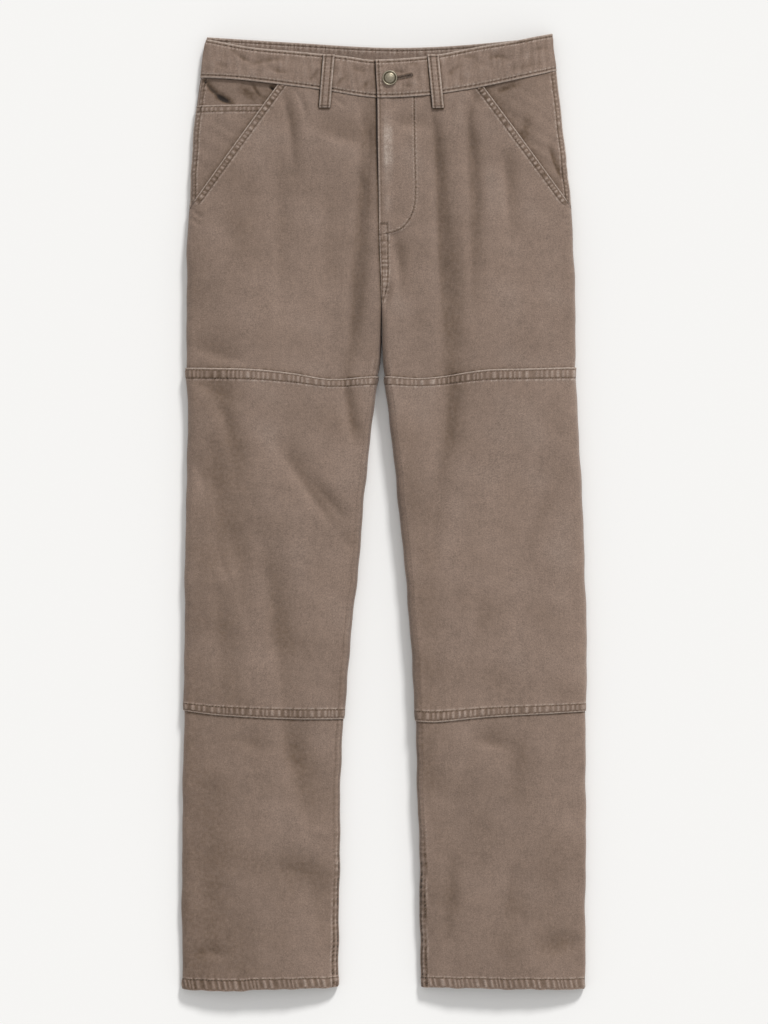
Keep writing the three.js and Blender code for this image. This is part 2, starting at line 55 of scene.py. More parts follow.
# The two faces. The front turns down at its sides to a seam just above the surface, and the back lies flat
SEAM_Z = 2.6
CORNER_WIDE = {"front": 10, "back": 3}
CORNER_SHARE = {"front": 0.2, "back": 0.1}
CORNER_FULL = 0.7
CROWN = 2.5
SHOULDER = {"front": 4.5, "back": 0}
SHOULDER_WIDE = 55
SHOULDER_MEAN = 0.2
INNER_STAND = {"front": 8, "back": 0}
STAND_GROWS_Y = (-560, -300)
OUTER_LOW = {"front": 5, "back": 0}
SIDE_WAVE = 0.6
CROTCH_OPENS_Y = 262
CROTCH_Y = 178
BACK_LIFT = 2.4
BACK_TOP_LIFT = 5
BACK_PRESSED = 0.8
BACK_LEAST = 0.06
LIFT_FROM_Y = 430
LIFT_TO_Y = 492


def mix(a, b, share):
    return a + (b - a) * share


def table(names, *rows):
    """Rows of numbers under named columns."""
    return dict(zip(names.split(), np.array(rows, float).T))


def curve_through(rows, along, column):
    """A smooth curve through a table's rows, read from one named column against another."""
    places, values = rows[along], rows[column]
    before = np.maximum(np.arange(len(places)) - 1, 0)
    after = np.minimum(np.arange(len(places)) + 1, len(places) - 1)
    slopes = (values[after] - values[before]) / (places[after] - places[before])

    def read(place):
        at = np.clip(place, places[0], places[-1])
        i = np.clip(np.searchsorted(places, at, side="right") - 1, 0, len(places) - 2)
        span = places[i + 1] - places[i]
        t = (at - places[i]) / span
        leave = t * (1 - t) ** 2 * span * slopes[i]
        arrive = t * t * (1 - t) * span * slopes[i + 1]
        return mix(values[i], values[i + 1], t * t * (3 - 2 * t)) + leave - arrive

    return read


def line_through(*points):
    """A smooth line across the garment, which gives the y of each x."""
    return curve_through(table("x y", *points), "x", "y")


# The edges of the two legs, and the height of the front's top
OUTLINE = table(
    "y right_out right_in left_in left_out high",
    (-552, -233.2, -53, 42.5, 231.6, 14),
    (-468, -233.5, -52, 41, 232.3, 15.5),
    (-376, -233.2, -51, 40, 232.9, 16.5),
    (-284, -232.3, -49.5, 37, 232.4, 17),
    (-228, -230.2, -46.5, 36, 232.4, 17.5),
    (-146, -229.4, -40, 32, 232, 17.5),
    (-54, -228.3, -30.5, 24, 230, 18),
    (38, -226.8, -22.5, 15, 226, 18.5),
    (108, -225.3, -15, 7, 222, 19),
    (150, -226.4, -9, 1.8, 220.5, 19.5),
    (178, -227.9, -4, -2, 221, 19.5),
    (245, -228.4, -3.2, -3.2, 220.2, 20),
    (315, -227.2, -5.7, -5.7, 218.3, 20.5),
    (360, -224.5, -6.4, -6.4, 215.4, 20.5),
    (430, -221, -7.4, -7.4, 207.5, 20.5),
    (475, -216, -8, -8, 202.5, 20),
    (505, -212, -9.5, -9.5, 198.5, 19.5),
    (551, -203.5, -11.5, -11.5, 194, 18.5),
)
outline = {name: curve_through(OUTLINE, "y", name) for name in OUTLINE if name != "y"}

# Edges that run across the garment
BACK_HIGH_Y = 549.8
waist_seam = line_through(
    (-214, 502.5), (-158, 497.5), (-75, 487), (-10, 477.5), (48, 480), (112, 490), (177, 504.5),
    (202, 511.5),
)
band_top = line_through(
    (-206, 547), (-158, 536.5), (-104, 531), (-43, 525), (-12, 521), (48, 525), (112, 537), (150, 543.4),
    (177, 549.5), (188, 552), (196, 554),
)
back_waist_seam = line_through((-214, 503), (-104, 497), (0, 493.5), (80, 497.5), (202, 511))
back_band_top = line_through((-206, BACK_HIGH_Y), (-104, 543.4), (0, 537.7), (80, 539.8), (196, 550.5))
knee_top = line_through(
    (-230, 168), (-152, 166), (-104, 161), (-62, 154.5), (-8, 158), (37, 155.5), (61, 157), (116, 165),
    (163, 166.5), (222, 168.5),
)
knee_bottom = line_through(
    (-232, -227), (-190, -232), (-107, -236.5), (-45, -237), (35, -239), (60, -240), (121, -234),
    (194, -230), (233, -228),
)
straight_hem = line_through(
    (-234, -548.5), (-194, -550), (-114, -547.5), (-53, -546.5), (42, -546), (124, -547), (174, -548),
    (232, -548.5),
)

# Slanted front pockets: the cut edge of the front runs from the waist seam to the outseam. The lean is the
# share of a distance across the leg that lies square to that edge
SLASH = {"right": ((-125, 489.5), (-225.5, 351)), "left": ((115, 489.5), (217.5, 351))}
SLASH_LEAN = 0.81

# Fly: the left front laps over the right
FLY_LAP = 6
FLY_RAISE = 1.6
FLY_WIDE = 43
FLY_CURVE_Y = 357
FLY_CURVE_TALL = 38
FLY_EDGE_SOFT = 9
CROTCH_SEAM_WIDE = 9
LAP_ENDS_Y = 275
LAP_FADES = 25
RAISE_FADES = 40

# Waistband ends: the left end laps over the right
BAND_LAP = 30
BAND_RAISE = BAND_THICK + SEAM_GAP
BAND_RAISE_WIDE = 36
BAND_RAISE_SOFT = 30

# Belt loops, each given by the middle of its two ends
LOOP_WIDE = 13
LOOP_THICK = {"front": 1.6, "back": 1.3}
LOOP_BOW = {"front": 0.8, "back": 0}
LOOPS = {
    "belt_loop_front_right": ("front", "right", (-63.5, 527), (-68.5, 466)),
    "belt_loop_front_left": ("front", "left", (56, 527), (62, 465.5)),
    "belt_loop_back_right": ("back", "right", (-120, 541), (-124, 480)),
    "belt_loop_back_centre": ("back", "left", (2, 536), (2, 476)),
    "belt_loop_back_left": ("back", "left", (110, 542), (114, 481)),
}

# Shank button
BUTTON_X, BUTTON_Y = 6.3, 499.5
BUTTON_SIDES = 72
BUTTON_HOLE = ((10, 498.2), (30.5, 502.6))

# Folds and creases, each a soft trough through three points. A negative depth is a ridge. The front has
# large folds first, and then finer creases
FOLD_COLUMNS = "from_x from_y via_x via_y to_x to_y width depth"
FRONT_FOLDS = table(
    FOLD_COLUMNS,
    (52, 478, 62, 345, 70, 200, 9, 4.1),
    (64, 345, 71, 225, 74, 72, 16, 4.1),
    (70, 165, 69, 85, 42, -30, 12, 2.3),
    (90, 480, 98, 380, 101, 195, 8, 3.6),
    (139, 420, 141, 372, 147, 308, 9, 3.2),
    (-19, 484, -31, 345, -44, 150, 10, 4),
    (-50, 192, -44, 120, -32, 72, 8, 3.8),
    (-121, 494, -109, 443, -104, 370, 7, 2.3),
    (-64, 395, -65, 320, -68, 245, 18, 2.6),
    (-92, 450, -52, 434, -16, 424, 14, 2.2),
    (-228, 200, -195, 184, -152, 176, 12, 2.4),
    (-228, 164, -195, 142, -154, 132, 16, 2.8),
    (-222, 70, -209, 40, -201, 0, 10, 2),
    (7, 454, 30, 447, 58, 454, 12, 2.8),
    (96, 490, 103, 478, 110, 462, 7, 1.6),
    (92, -262, 118, -262, 150, -273, 11, 2.6),
    (-121, 425, -121, 310, -116, 185, 12, 1.4),
    (-203, 146, -180, 95, -168, 20, 12, 2.5),
    (-206, 100, -190, 25, -190, -70, 18, 3.4),
    (-130, 92, -88, 28, -50, -24, 12, 3.8),
    (-190, -75, -190, -130, -183, -212, 14, 1.8),
    (-146, 0, -127, -110, -106, -300, 16, 3.2),
    (-180, 0, -167, -60, -160, -130, 15, 1.8),
    (-192, 385, -174, 330, -164, 262, 24, 1.6),
    (-98, -395, -82, -440, -70, -495, 18, 1.6),
    (200, 48, 172, -10, 145, -78, 12, 1.0),
    (112, -85, 107, -130, 92, -182, 12, 1.5),
    (-120, -225, -104, -290, -78, -380, 17, 3.2),
    (-172, -255, -155, -265, -130, -262, 12, 1.5),
    (-134, -396, -105, -409, -76, -419, 14, 1.4),
    (-210, -390, -203, -440, -198, -500, 18, 1.8),
    (77, -375, 71, -440, 68, -505, 11, 2),
    (145, -400, 142, -440, 140, -478, 10, 1.6),
    (148, -250, 145, -290, 141, -328, 9, 1),
    (-121, 492, -110, 446, -106, 392, 3.6, 1.1),
    (-16, 478, -18, 430, -21, 378, 4, 1.6),
    (-32, 392, -25, 374, -25, 346, 4, 2),
    (-26, 364, -29, 330, -29, 292, 4.4, 2.6),
    (-29, 308, -35, 250, -43, 160, 7, 3.8),
    (-103, 488, -95, 470, -91, 446, 3, 1.4),
    (-61, 479, -52, 472, -45, 463, 3, 0.9),
    (-33, 480, -23, 443, -9, 398, 5, 1.1),
    (80, 481, 76, 468, 69, 452, 3, 1.1),
    (112, 491, 97, 464, 99, 415, 3.2, 1.8),
    (54, 466, 59, 415, 62, 345, 4.4, 2),
    (62, 385, 60, 310, 66, 235, 5, 1.6),
    (-222, 351, -216, 344, -208, 339, 2.2, 1.2),
    (-224, 338, -219, 336, -211, 329, 2.4, 0.8),
    (216, 349, 212, 341, 205, 337, 2.2, 1.2),
    (218, 338, 213, 332, 207, 333, 2.4, 0.8),
    (-46, 184, -42, 125, -30, 80, 5, 1.2),
    (-154, 400, -155, 360, -154, 322, 9, 0.8),
    (72, 172, 74, 115, 62, 35, 7, 1.1),
    (73, 42, 58, -10, 50, -75, 8, 0.9),
    (98, 450, 104, 385, 105, 305, 5, 1.2),
    (9, 310, 15, 296, 19, 236, 7, 3.2),
    (40, 241, 35, 222, 27, 206, 7, 0.9),
    (7, 268, 2.5, 252, -1, 234, 3, 2.6),
    (-6, 240, -9, 215, -7, 190, 5, 0.8),
    (-200, 140, -182, 108, -168, 60, 6, 0.7),
    (-84, 40, -62, 12, -41, -14, 6, 1.6),
    (-53, -22, -44, -34, -33, -50, 7, 0.9),
    (212, 56, 186, 18, 156, -66, 8, 0.6),
    (-190, -40, -186, -62, -176, -84, 3.5, 1.2),
    (-89, -362, -74, -368, -58, -373, 6, -0.9),
    (-121, -405, -113, -422, -104, -443, 9, 1.0),
    (-228, -514, -204, -505, -178, -512, 8, 2.4),
    (44, -238, 46, -300, 47, -357, 7, 1.0),
    (103, -257, 90, -300, 73, -350, 9, 0.8),
    (80, -388, 75, -440, 71, -498, 6, 1.0),
    (157, -404, 155, -440, 154, -476, 6, 0.5),
    (155, -245, 152, -285, 149, -324, 5, 0.7),
    (226, -488, 200, -496, 165, -508, 14, 2.6),
)

# Creases where a pocket gapes, on the pieces in its mouth
POCKET_CREASES = table(
    FOLD_COLUMNS,
    (-209, 504, -198, 486, -174, 471, 3, 1.5),
    (-196, 481, -186, 475, -170, 470, 3.4, 1.6),
    (-170, 490, -158, 482, -146, 472, 6, 0.7),
    (-150.5, 496, -147, 484.5, -135, 475, 1.7, 1.0),
    (-133, 492, -129.5, 488.5, -125, 485, 1.5, 1.5),
    (129, 484, 142, 489, 160, 494, 3, 0.8),
    (165, 463, 161, 441, 154, 424, 6, 0.55),
    (188, 428, 197, 402, 209, 376, 3.4, 0.9),
)

# Creases of the waistband
BAND_CREASES = table(
    FOLD_COLUMNS,
    (-176, 535, -165, 524, -150, 517, 2.6, 0.9),
    (-160, 513, -135, 520, -110, 522, 3.0, 0.8),
    (-133, 511, -120, 507, -106, 508, 2.6, 0.6),
    (-195, 520, -188, 515, -178, 514, 3.2, 0.5),
    (-87, 496, -81, 503, -74, 512, 2.2, 0.8),
    (-57, 489, -50, 497, -42, 504, 2.4, 0.8),
    (-36, 512, -28, 508, -20, 510, 3.0, 0.6),
    (-30, 486, -22, 492, -16, 500, 2.6, 0.6),
    (11, 510, 17, 506, 24, 507, 2.2, 0.8),
    (26, 514, 32, 516, 40, 513, 3.0, 0.6),
    (20, 493, 28, 490, 38, 494, 3.0, 0.6),
    (72, 500, 80, 510, 92, 514, 3.0, 0.7),
    (84, 528, 96, 524, 108, 526, 3.0, 0.6),
    (118, 520, 129, 524, 147, 520, 2.8, 0.8),
    (150, 539, 159, 542, 170, 541, 2.4, 0.7),
    (168, 531, 180, 535, 192, 533, 3.0, 0.6),
    (150, 508, 164, 514, 184, 518, 3.0, 0.6),
)

# Creases of the back, shallow because the cloth lies flat on the surface
BACK_CREASES = table(
    FOLD_COLUMNS,
    (-70, 455, -82, 350, -92, 215, 7, 0.7),
    (50, 450, 78, 340, 84, 205, 8, 0.7),
    (-190, 400, -165, 330, -150, 262, 6, 0.5),
    (160, 395, 148, 330, 150, 250, 7, 0.5),
    (-24, 255, -70, 205, -128, 190, 6, 0.6),
    (12, 262, 60, 215, 122, 188, 6, 0.6),
    (-205, 110, -150, 60, -70, 52, 7, 0.7),
    (40, 66, 110, 40, 188, 82, 7, 0.7),
    (-60, -20, -120, -60, -200, -52, 8, 0.7),
    (48, -62, 120, -98, 205, -70, 7, 0.6),
    (-95, -150, -112, -260, -100, -372, 8, 0.6),
    (150, -160, 138, -270, 149, -395, 8, 0.6),
    (-190, -310, -170, -400, -178, -492, 7, 0.5),
    (85, -400, 93, -450, 80, -512, 6, 0.5),
)
FOLD_STEPS = 10
FOLD_REACH = 2.9
FOLD_LEAN = (0.9, 0.44)
FOLD_SKEW = 0.38

# Soft unevenness of the cloth as a whole
UNEVEN_WAVES = 14
UNEVEN_LENGTHS = (55, 240)
UNEVEN_HEIGHT = {"front": 0.16, "back": 0.05}

# Rows of points run across the faces at these heights, and some of them bend to follow a seam
LOW_Y = -550
KNEE_BOTTOM_Y = -234
KNEE_TOP_Y = 162
MOUTH_LOW_Y = 351
POCKET_LOW_Y = 353
COIN_POCKET_TOP_Y = 470
HIGH_Y = 500
BEND_FADES = 40
PASSES = 4
MOUTH_EXTRA = 1 / 17

# How far apart points are, along the cloth, and how far finer rows reach from a hem or a seam
EDGE_STEPS = (0, 0.12, 0.45, 1.0)
SEWN_STEP = 1.2
PLAIN_STEP = 2.3
BACK_STEP = 4.2
HIDDEN_STEP = 7.0
HEM_FINE = 18
KNEE_FINE = 12
KNEE_OVERLAP = 4
FINE_FROM_Y = 320

# About how long rows of points are, along the cloth
LEG_AROUND = 208
MOUTH_WIDE = 90
BAND_LONG = {"front": 215, "back": 205}
LOOP_LONG = 61

# Rounding of the cloth's edges
EDGE_ROUND = 0.8

# Sewing: rows of stitches, as distances in from an edge, and how far apart the puckers between them are
STITCH_LONG = 2.6
STITCH_PITCH = 3.5
THREAD_RADIUS = 0.36
EDGE_ROWS = (2.0, 10.4)
POCKET_ROWS = (1.9, 7.6)
FELL_ROWS = (1.8, 6.6)
SIDE_ROWS = (1.6, 6.2)
BAND_ROWS = (3.3, 3.4)
BAND_TALL = 42
HEM_ROW = 12.6
LOOP_ROW = 3.1
HEM_ROWS = (1.2, HEM_ROW)
HEM_PITCH = 6.4
KNEE_PITCH = {"top": 6.3, "low": 6.5}
SLASH_PITCH = 6.0
COIN_POCKET_PITCH = 6.3
SIDE_PITCH = 5.6
FELL_PITCH = 7.2
BACK_SEAM_ROW = 3.5
BAND_END_ROW = 3.4

# The inseams' rows of stitches show fully below the first height, and faintly above the second
FELL_SHOWS_Y = (-430, -330)

# Where those puckers start to fade, in from the edge, and where they end
HEM_PUCKERS = (26, 34)
POCKET_PUCKERS = (16, 24)
SIDE_PUCKERS = (9, 14)

# One stitch: rings of points around its length, each a place along it and a radius
STITCH_SIDES = 6
STITCH_RINGS = ((-0.72, 0.8), (-0.3, 1.0), (0.3, 1.0), (0.72, 0.8))
STITCH_SINK = 0.05

# Painted shade: how much darker the cloth is painted in its folds, towards the right leg's outseam and beside
# the left leg's inseam, where shade falls, and how much darker it is lower down
FOLD_PAINTED_SHADE = 0.14
FOLD_SHADE_OFF = 4
FOLD_SHADE_DEEPEST = 4
OUTER_PAINTED_SHADE = 0.21
OUTER_SHADE_WIDE = 115
LOW_DARKENING = 0.19
LOW_DARKENING_Y = (-520, 60)
INNER_PAINTED_SHADE = 0.3
INNER_SHADE_WIDE = 34
INNER_SHADE_Y = (-430, -230)

# The fly's curved stitching, the crotch seam's two rows and the fly's bar tacks, as places on the front, and
# the heights between which the fly's other details lie or grow
FLY_STITCHES = ((34.3, 478), (35, 420), (35.4, 358), (29.2, 338.7), (19.3, 327.2), (2, 321.4), (-4.9, 320))
CROTCH_ROWS = (
    ((3.6, 333), (4.2, 300), (4.0, 270), (-1.0, 244)),
    ((-4.6, 333), (-3.6, 300), (-2.4, 270), (-2.0, 246)),
)
CROTCH_PITCH = 4.2
CROTCH_RUNGS_Y = (250, 321)
FLY_TACK_Y = 333
FLY_TACKS = (((-4, 333.5), (4.6, 332.5)), ((4.3, 322), (4.5, 313)))
FLY_RIDGE_Y = (322, 350)
FLY_RUBBED_Y = (396, 456)
FLY_SHADED_Y = (350, 430)

LEGS = ("right", "left")
rng = np.random.default_rng(20)


def ease_between(low, high, value):
    t = np.clip((value - low) / (high - low), 0, 1)
    return t * t * (3 - 2 * t)


def between(value, low, high, soft=0.6):
    return ease_between(low - soft, low + soft, value) * (1 - ease_between(high - soft, high + soft, value))


def ridge(value, at, wide):
    return np.exp(-(((value - at) / wide) ** 2))


def fading(distance, over):
    return np.exp(-np.abs(distance) / over)


def wander(s, length, seed):
    """A smooth uneven line of about -1 to 1, which changes over a given length."""
    pick = np.random.default_rng(seed)
    total = 0
    for part in (1.0, 1.63, 2.71, 4.1):
        total = total + np.sin(s * 2 * np.pi / (length * part) + pick.uniform(0, 2 * np.pi))
    return total / 2.4


def fold_chains(folds):
    """Each fold as a chain of points on a curve that passes through its middle one."""
    chains = []
    for i in range(len(folds["depth"])):
        start, via, end = (np.array([folds[f"{k}_x"][i], folds[f"{k}_y"][i]]) for k in ("from", "via", "to"))
        t = np.linspace(0, 1, FOLD_STEPS + 1)[:, None]
        bend = 2 * via - (start + end) / 2
        points = (1 - t) ** 2 * start + 2 * t * (1 - t) * bend + t * t * end
        chains.append((points, folds["width"][i], folds["depth"][i]))
    return chains


def nearest_on(points, x, y):
    """How far each place is from a chain of points, how far along the chain, from 0 to 1, that is, and
    whether it is on the chain's upper right, 1, or lower left, -1."""
    nearest = np.full(x.shape, np.inf)
    along = np.zeros(x.shape)
    lean = np.zeros(x.shape)
    for i, (start, end) in enumerate(zip(points[:-1], points[1:])):
        step = end - start
        t = np.clip(((x - start[0]) * step[0] + (y - start[1]) * step[1]) / (step @ step), 0, 1)
        off_x, off_y = x - start[0] - t * step[0], y - start[1] - t * step[1]
        away = np.hypot(off_x, off_y)
        closer = away < nearest
        nearest = np.where(closer, away, nearest)
        along = np.where(closer, (i + t) / (len(points) - 1), along)
        side = (off_x * FOLD_LEAN[0] + off_y * FOLD_LEAN[1]) / np.maximum(away, 1e-6)
        lean = np.where(closer, np.clip(2 * side, -1, 1), lean)
    return nearest, along, lean


def fold_depth(where, x, y):
    """How far folds press a face in at each place, each fading out along its length and to its sides."""
    depth = np.zeros(x.shape)
    for points, width, deep in CHAINS[where]:
        low, high = points.min(0) - FOLD_REACH * width, points.max(0) + FOLD_REACH * width
        near = (x > low[0]) & (x < high[0]) & (y > low[1]) & (y < high[1])
        if not near.any():
            continue
        away, along, lean = nearest_on(points, x[near], y[near])
        fade = np.sin(np.pi * np.clip(along, 0, 1))
        depth[near] += deep * fade * ridge(away, 0, width * (1 + FOLD_SKEW * lean))
    return depth


CHAINS = {
    "front": fold_chains(FRONT_FOLDS),
    "back": fold_chains(BACK_CREASES),
    "pocket": fold_chains(POCKET_CREASES),
    "band": fold_chains(BAND_CREASES),
}

uneven_turns = rng.uniform(0, np.pi, UNEVEN_WAVES)
uneven_lengths = rng.uniform(*UNEVEN_LENGTHS, UNEVEN_WAVES)
uneven_starts = rng.uniform(0, 2 * np.pi, UNEVEN_WAVES)


def unevenness(x, y):
    """Waves in many directions, added up, of about 1 at most."""
    total = np.zeros(x.shape)
    for turn, length, start in zip(uneven_turns, uneven_lengths, uneven_starts):
        total += np.sin((x * math.cos(turn) + y * math.sin(turn)) * 2 * np.pi / length + start)
    return total / math.sqrt(UNEVEN_WAVES)


def fly_lap(y):
    return (FLY_LAP + SEAM_GAP) * ease_between(LAP_ENDS_Y, LAP_ENDS_Y + LAP_FADES, y)


def steady_lap(wide):
    return lambda y: np.full(np.shape(y), float(wide))


class Face:
    """One leg's front or back face. lap(y) carries its inner edge on, under its neighbour."""

    STEP = 1e-3
    ROW_STEP = 6
    COUNT = 240

    def __init__(self, side, leg, lap=steady_lap(0)):
        self.side, self.leg, self.lap = side, leg, lap
        self.sense = (1 if leg == "right" else -1) * (1 if side == "front" else -1)
        self.measure()

    def section(self, y):
        lift = BACK_LIFT * ease_between(LIFT_FROM_Y, LIFT_TO_Y, y)
        lift += (BACK_TOP_LIFT - BACK_LIFT) * ease_between(LIFT_TO_Y, BACK_HIGH_Y, y)
        side_wave = 1 - ease_between(CROTCH_Y - 60, CROTCH_Y, y)
        outer = outline[f"{self.leg}_out"](y) + SIDE_WAVE * wander(y, 47, 70)
        inward = SEAM_GAP / 2 if self.leg == "left" else self.lap(y) - SEAM_GAP / 2
        inner = outline[f"{self.leg}_in"](y) + inward + SIDE_WAVE * side_wave * wander(y, 41, 71)
        return outer, inner, lift

    def spread(self, across, y):
        """The x of each place, and how far the face has turned up from its seam."""
        outer, inner, lift = self.section(y)
        turned = 1 - ease_between(CROTCH_Y, CROTCH_OPENS_Y, y)
        wide = np.abs(inner - outer)
        corner, part = CORNER_WIDE[self.side], CORNER_SHARE[self.side]
        near, far = across < part, across > 1 - part
        angle = np.clip(np.where(near, across, 1 - across) / part, 0, 1) * np.pi / 2
        flat = np.clip((across - part) / (1 - 2 * part), 0, 1)
        in_corner = corner * (1 - np.cos(angle) ** CORNER_FULL)
        rise = np.sin(angle) ** CORNER_FULL
        run = np.where(near, in_corner, np.where(far, wide - in_corner, mix(corner, wide - corner, flat)))
        turn = np.where(near, rise, np.where(far, 1 - turned * (1 - rise), 1))
        crown = CROWN * mix(np.sin(np.pi / 2 * flat), np.sin(np.pi * flat), turned)
        by_outer = np.clip(1 - run / SHOULDER_WIDE, 0, 1) ** 2
        by_inner = turned * np.clip(1 - (wide - run) / SHOULDER_WIDE, 0, 1) ** 2
        crown -= OUTER_LOW[self.side] * ease_between(CROTCH_OPENS_Y, LIFT_FROM_Y, y) * by_outer
        if self.leg == "left":
            crown += INNER_STAND[self.side] * ease_between(*STAND_GROWS_Y, y) * by_inner
        crown -= SHOULDER[self.side] * (by_outer + by_inner - SHOULDER_MEAN)
        return outer + np.sign(inner - outer) * run, turn, crown, lift

    def point(self, across, y, folded=True):
        x, turn, crown, lift = self.spread(across, y)
        uneven = UNEVEN_HEIGHT[self.side] * unevenness(x, y) if folded else 0
        pressed = fold_depth(self.side, x, y) if folded else 0
        seam = SEAM_Z + lift
        if self.side == "back":
            least = np.maximum(uneven * 0.5 + UNEVEN_HEIGHT["back"], BACK_LEAST)
            z = mix(seam - SEAM_GAP / 2, lift + BACK_PRESSED * pressed + least, turn)
        else:
            z = mix(seam + SEAM_GAP / 2, outline["high"](y) + crown - pressed + uneven, turn)
        return np.stack([x, y + 0 * x, z], -1)

    def off(self, across, y, out):
        """Points that lie off the face, along its outward normal."""
        a = np.clip(across, self.STEP, 1 - self.STEP)
        across_way = self.point(a + self.STEP, y) - self.point(a - self.STEP, y)
        up_way = self.point(a, y + self.STEP) - self.point(a, y - self.STEP)
        normal = np.cross(across_way, up_way) * self.sense
        normal /= np.linalg.norm(normal, axis=-1, keepdims=True)
        return self.point(across, y) + normal * out[..., None], normal

    def measure(self):
        """Tables that turn a share of the length along the cloth into a share across the face, and back."""
        self.rows = np.arange(LOW_Y - 6, OUTLINE["y"][-1] + 12, self.ROW_STEP)
        grid = np.linspace(0, 1, self.COUNT + 1)
        y, across = np.meshgrid(self.rows, grid, indexing="ij")
        points = self.point(across, y, folded=False)
        steps = np.linalg.norm(np.diff(points, axis=1), axis=-1)
        lengths = np.concatenate([np.zeros((len(self.rows), 1)), np.cumsum(steps, axis=1)], axis=1)
        self.totals = lengths[:, -1]
        self.lengths = lengths / self.totals[:, None]
        self.acrosses = np.array([np.interp(grid, row, grid) for row in self.lengths])

    def read(self, values, share, y):
        row = np.clip((y - self.rows[0]) / self.ROW_STEP, 0, len(self.rows) - 1.001)
        column = np.clip(share, 0, 1) * self.COUNT * 0.9999999
        j, i = row.astype(int), column.astype(int)
        v, u = row - j, column - i
        low = mix(values[j, i], values[j, i + 1], u)
        return mix(low, mix(values[j + 1, i], values[j + 1, i + 1], u), v)

    def across_of(self, share, y):
        return self.read(self.acrosses, share, y)

    def share_of(self, across, y):
        return self.read(self.lengths, across, y)

    def total(self, y):
        return np.interp(y, self.rows, self.totals)

    def across_at(self, x, y):
        """The share across the face at which it has a given x."""
        outer, inner, _ = self.section(y)
        wide = np.abs(inner - outer)
        corner, part = CORNER_WIDE[self.side], CORNER_SHARE[self.side]
        run = np.clip((x - outer) * np.sign(inner - outer), 0, wide)

        def in_corner(run):
            return np.arccos(np.clip(1 - run / corner, 0, 1) ** (1 / CORNER_FULL)) / (np.pi / 2) * part

        middle = mix(part, 1 - part, (run - corner) / (wide - 2 * corner))
        far = np.where(run > wide - corner, 1 - in_corner(wide - run), middle)
        return np.where(run < corner, in_corner(run), far)


# Bends take one row onto its line, and leave the rows beyond its fade straight
def level(y):
    return lambda x: np.full(x.shape, float(y))


def bends_at(y, line):
    return [(y - BEND_FADES, level(y - BEND_FADES)), (y, line), (y + BEND_FADES, level(y + BEND_FADES))]


def waist_bends(seam):
    return [(COIN_POCKET_TOP_Y, level(COIN_POCKET_TOP_Y)), (HIGH_Y, lambda x: seam(x) - SEAM_GAP)]


def hem_line(x):
    return straight_hem(x) + HEM_WAVE * wander(x, 19, 60)


HEM_BENDS = [(LOW_Y, hem_line), (LOW_Y + BEND_FADES, level(LOW_Y + BEND_FADES))]
FRONT_BENDS = [
    *HEM_BENDS,
    *bends_at(KNEE_BOTTOM_Y, knee_bottom),
    *bends_at(KNEE_TOP_Y, knee_top),
    *waist_bends(waist_seam),
]
BACK_BENDS = [*HEM_BENDS, *waist_bends(back_waist_seam)]


def height_of_row(row, x, bends):
    y = np.zeros(x.shape)
    for i, ((low, low_line), (high, high_line)) in enumerate(zip(bends[:-1], bends[1:])):
        here = (row >= low) if i else np.full(x.shape, True)
        if i < len(bends) - 2:
            here = here & (row < high)
        share = (row[here] - low) / (high - low)
        y[here] = mix(low_line(x[here]), high_line(x[here]), share)
    return y


def fly_raise(x, y):
    """How far the left front stands up over what lies under it at the fly and the crotch seam."""
    curve = np.clip((FLY_CURVE_Y - y) / FLY_CURVE_TALL, 0, 1)
    wide = np.maximum(FLY_WIDE * np.sqrt(1 - curve * curve), CROTCH_SEAM_WIDE)
    sideways = 1 - ease_between(wide - FLY_EDGE_SOFT / 2, wide + FLY_EDGE_SOFT, x - outline["left_in"](y))
    return FLY_RAISE * sideways * ease_between(LAP_ENDS_Y - RAISE_FADES, LAP_ENDS_Y, y)


def slash_x(leg, y):
    (top_x, top_y), (low_x, low_y) = SLASH[leg]
    return mix(low_x, top_x, (y - low_y) / (top_y - low_y))


# Sewn relief. Sewn edges and lines give two rows of values: heights in mm, and wear, which is below 0 in dark
# grooves and above 0 where edges are rubbed pale. Painted shade, made elsewhere, is added to that second row
# too
def ripple(s, pitch, seed):
    """Uneven ripples across a seam, of about -1 to 1."""
    drift = pitch * (0.55 * wander(s, 6 * pitch, seed) + 0.2 * wander(s, 2.3 * pitch, seed + 1))
    strength = 0.8 + 0.24 * wander(s, 2.9 * pitch, seed + 2)
    return strength * np.sin((s + drift) * 2 * np.pi / pitch)


def ridged(waves):
    """Ripples whose ridges are narrow, and whose hollows are wide."""
    return 2 * np.exp(-((1.25 * (1 - waves)) ** 2)) - 1


def rounded(*distances):
    """How far cut or folded edges drop, at distances in from each of them."""
    left = np.clip(EDGE_ROUND - np.array(distances), 0, EDGE_ROUND)
    return (EDGE_ROUND - np.sqrt(EDGE_ROUND**2 - left**2)).sum(0)


def sewn_edge(d, s, rows, pitch, seed, height=0.32, slant=0.0, contrast=0.65):
    """A folded edge that rows of stitches hold down, with the cloth puckered between them."""
    waves = ripple(s + slant * d, pitch, seed)
    bars = ridged(waves)
    inside = between(d, rows[0] + 0.7, rows[-1] - 0.5)
    past = np.exp(-np.clip(d - rows[-1], 0, None) / 3.5) * ease_between(rows[-1] - 0.6, rows[-1] + 0.6, d)
    relief = height * (0.5 + bars) * inside + 0.4 * height * waves * past
    relief += 0.3 * (1 - ease_between(rows[-1], rows[-1] + 3, d))
    wear_and_shade = 1.5 * ridge(d, 0.6, 1.25) + (0.2 + contrast * bars) * inside + 0.3 * waves * past
    wear_and_shade += (0.85 + 0.7 * wander(s, 0.9 * STITCH_PITCH, seed + 7)) * ridge(d, rows[-1] + 1.4, 0.9)
    teeth = ripple(s + 0.6 * d, STITCH_PITCH, seed + 8)
    for row in rows:
        relief -= 0.35 * ridge(d, row, 0.75)
        wear_and_shade -= (1.35 + 0.3 * waves + 0.7 * teeth) * ridge(d, row, 0.8)
    return np.stack([relief, wear_and_shade])


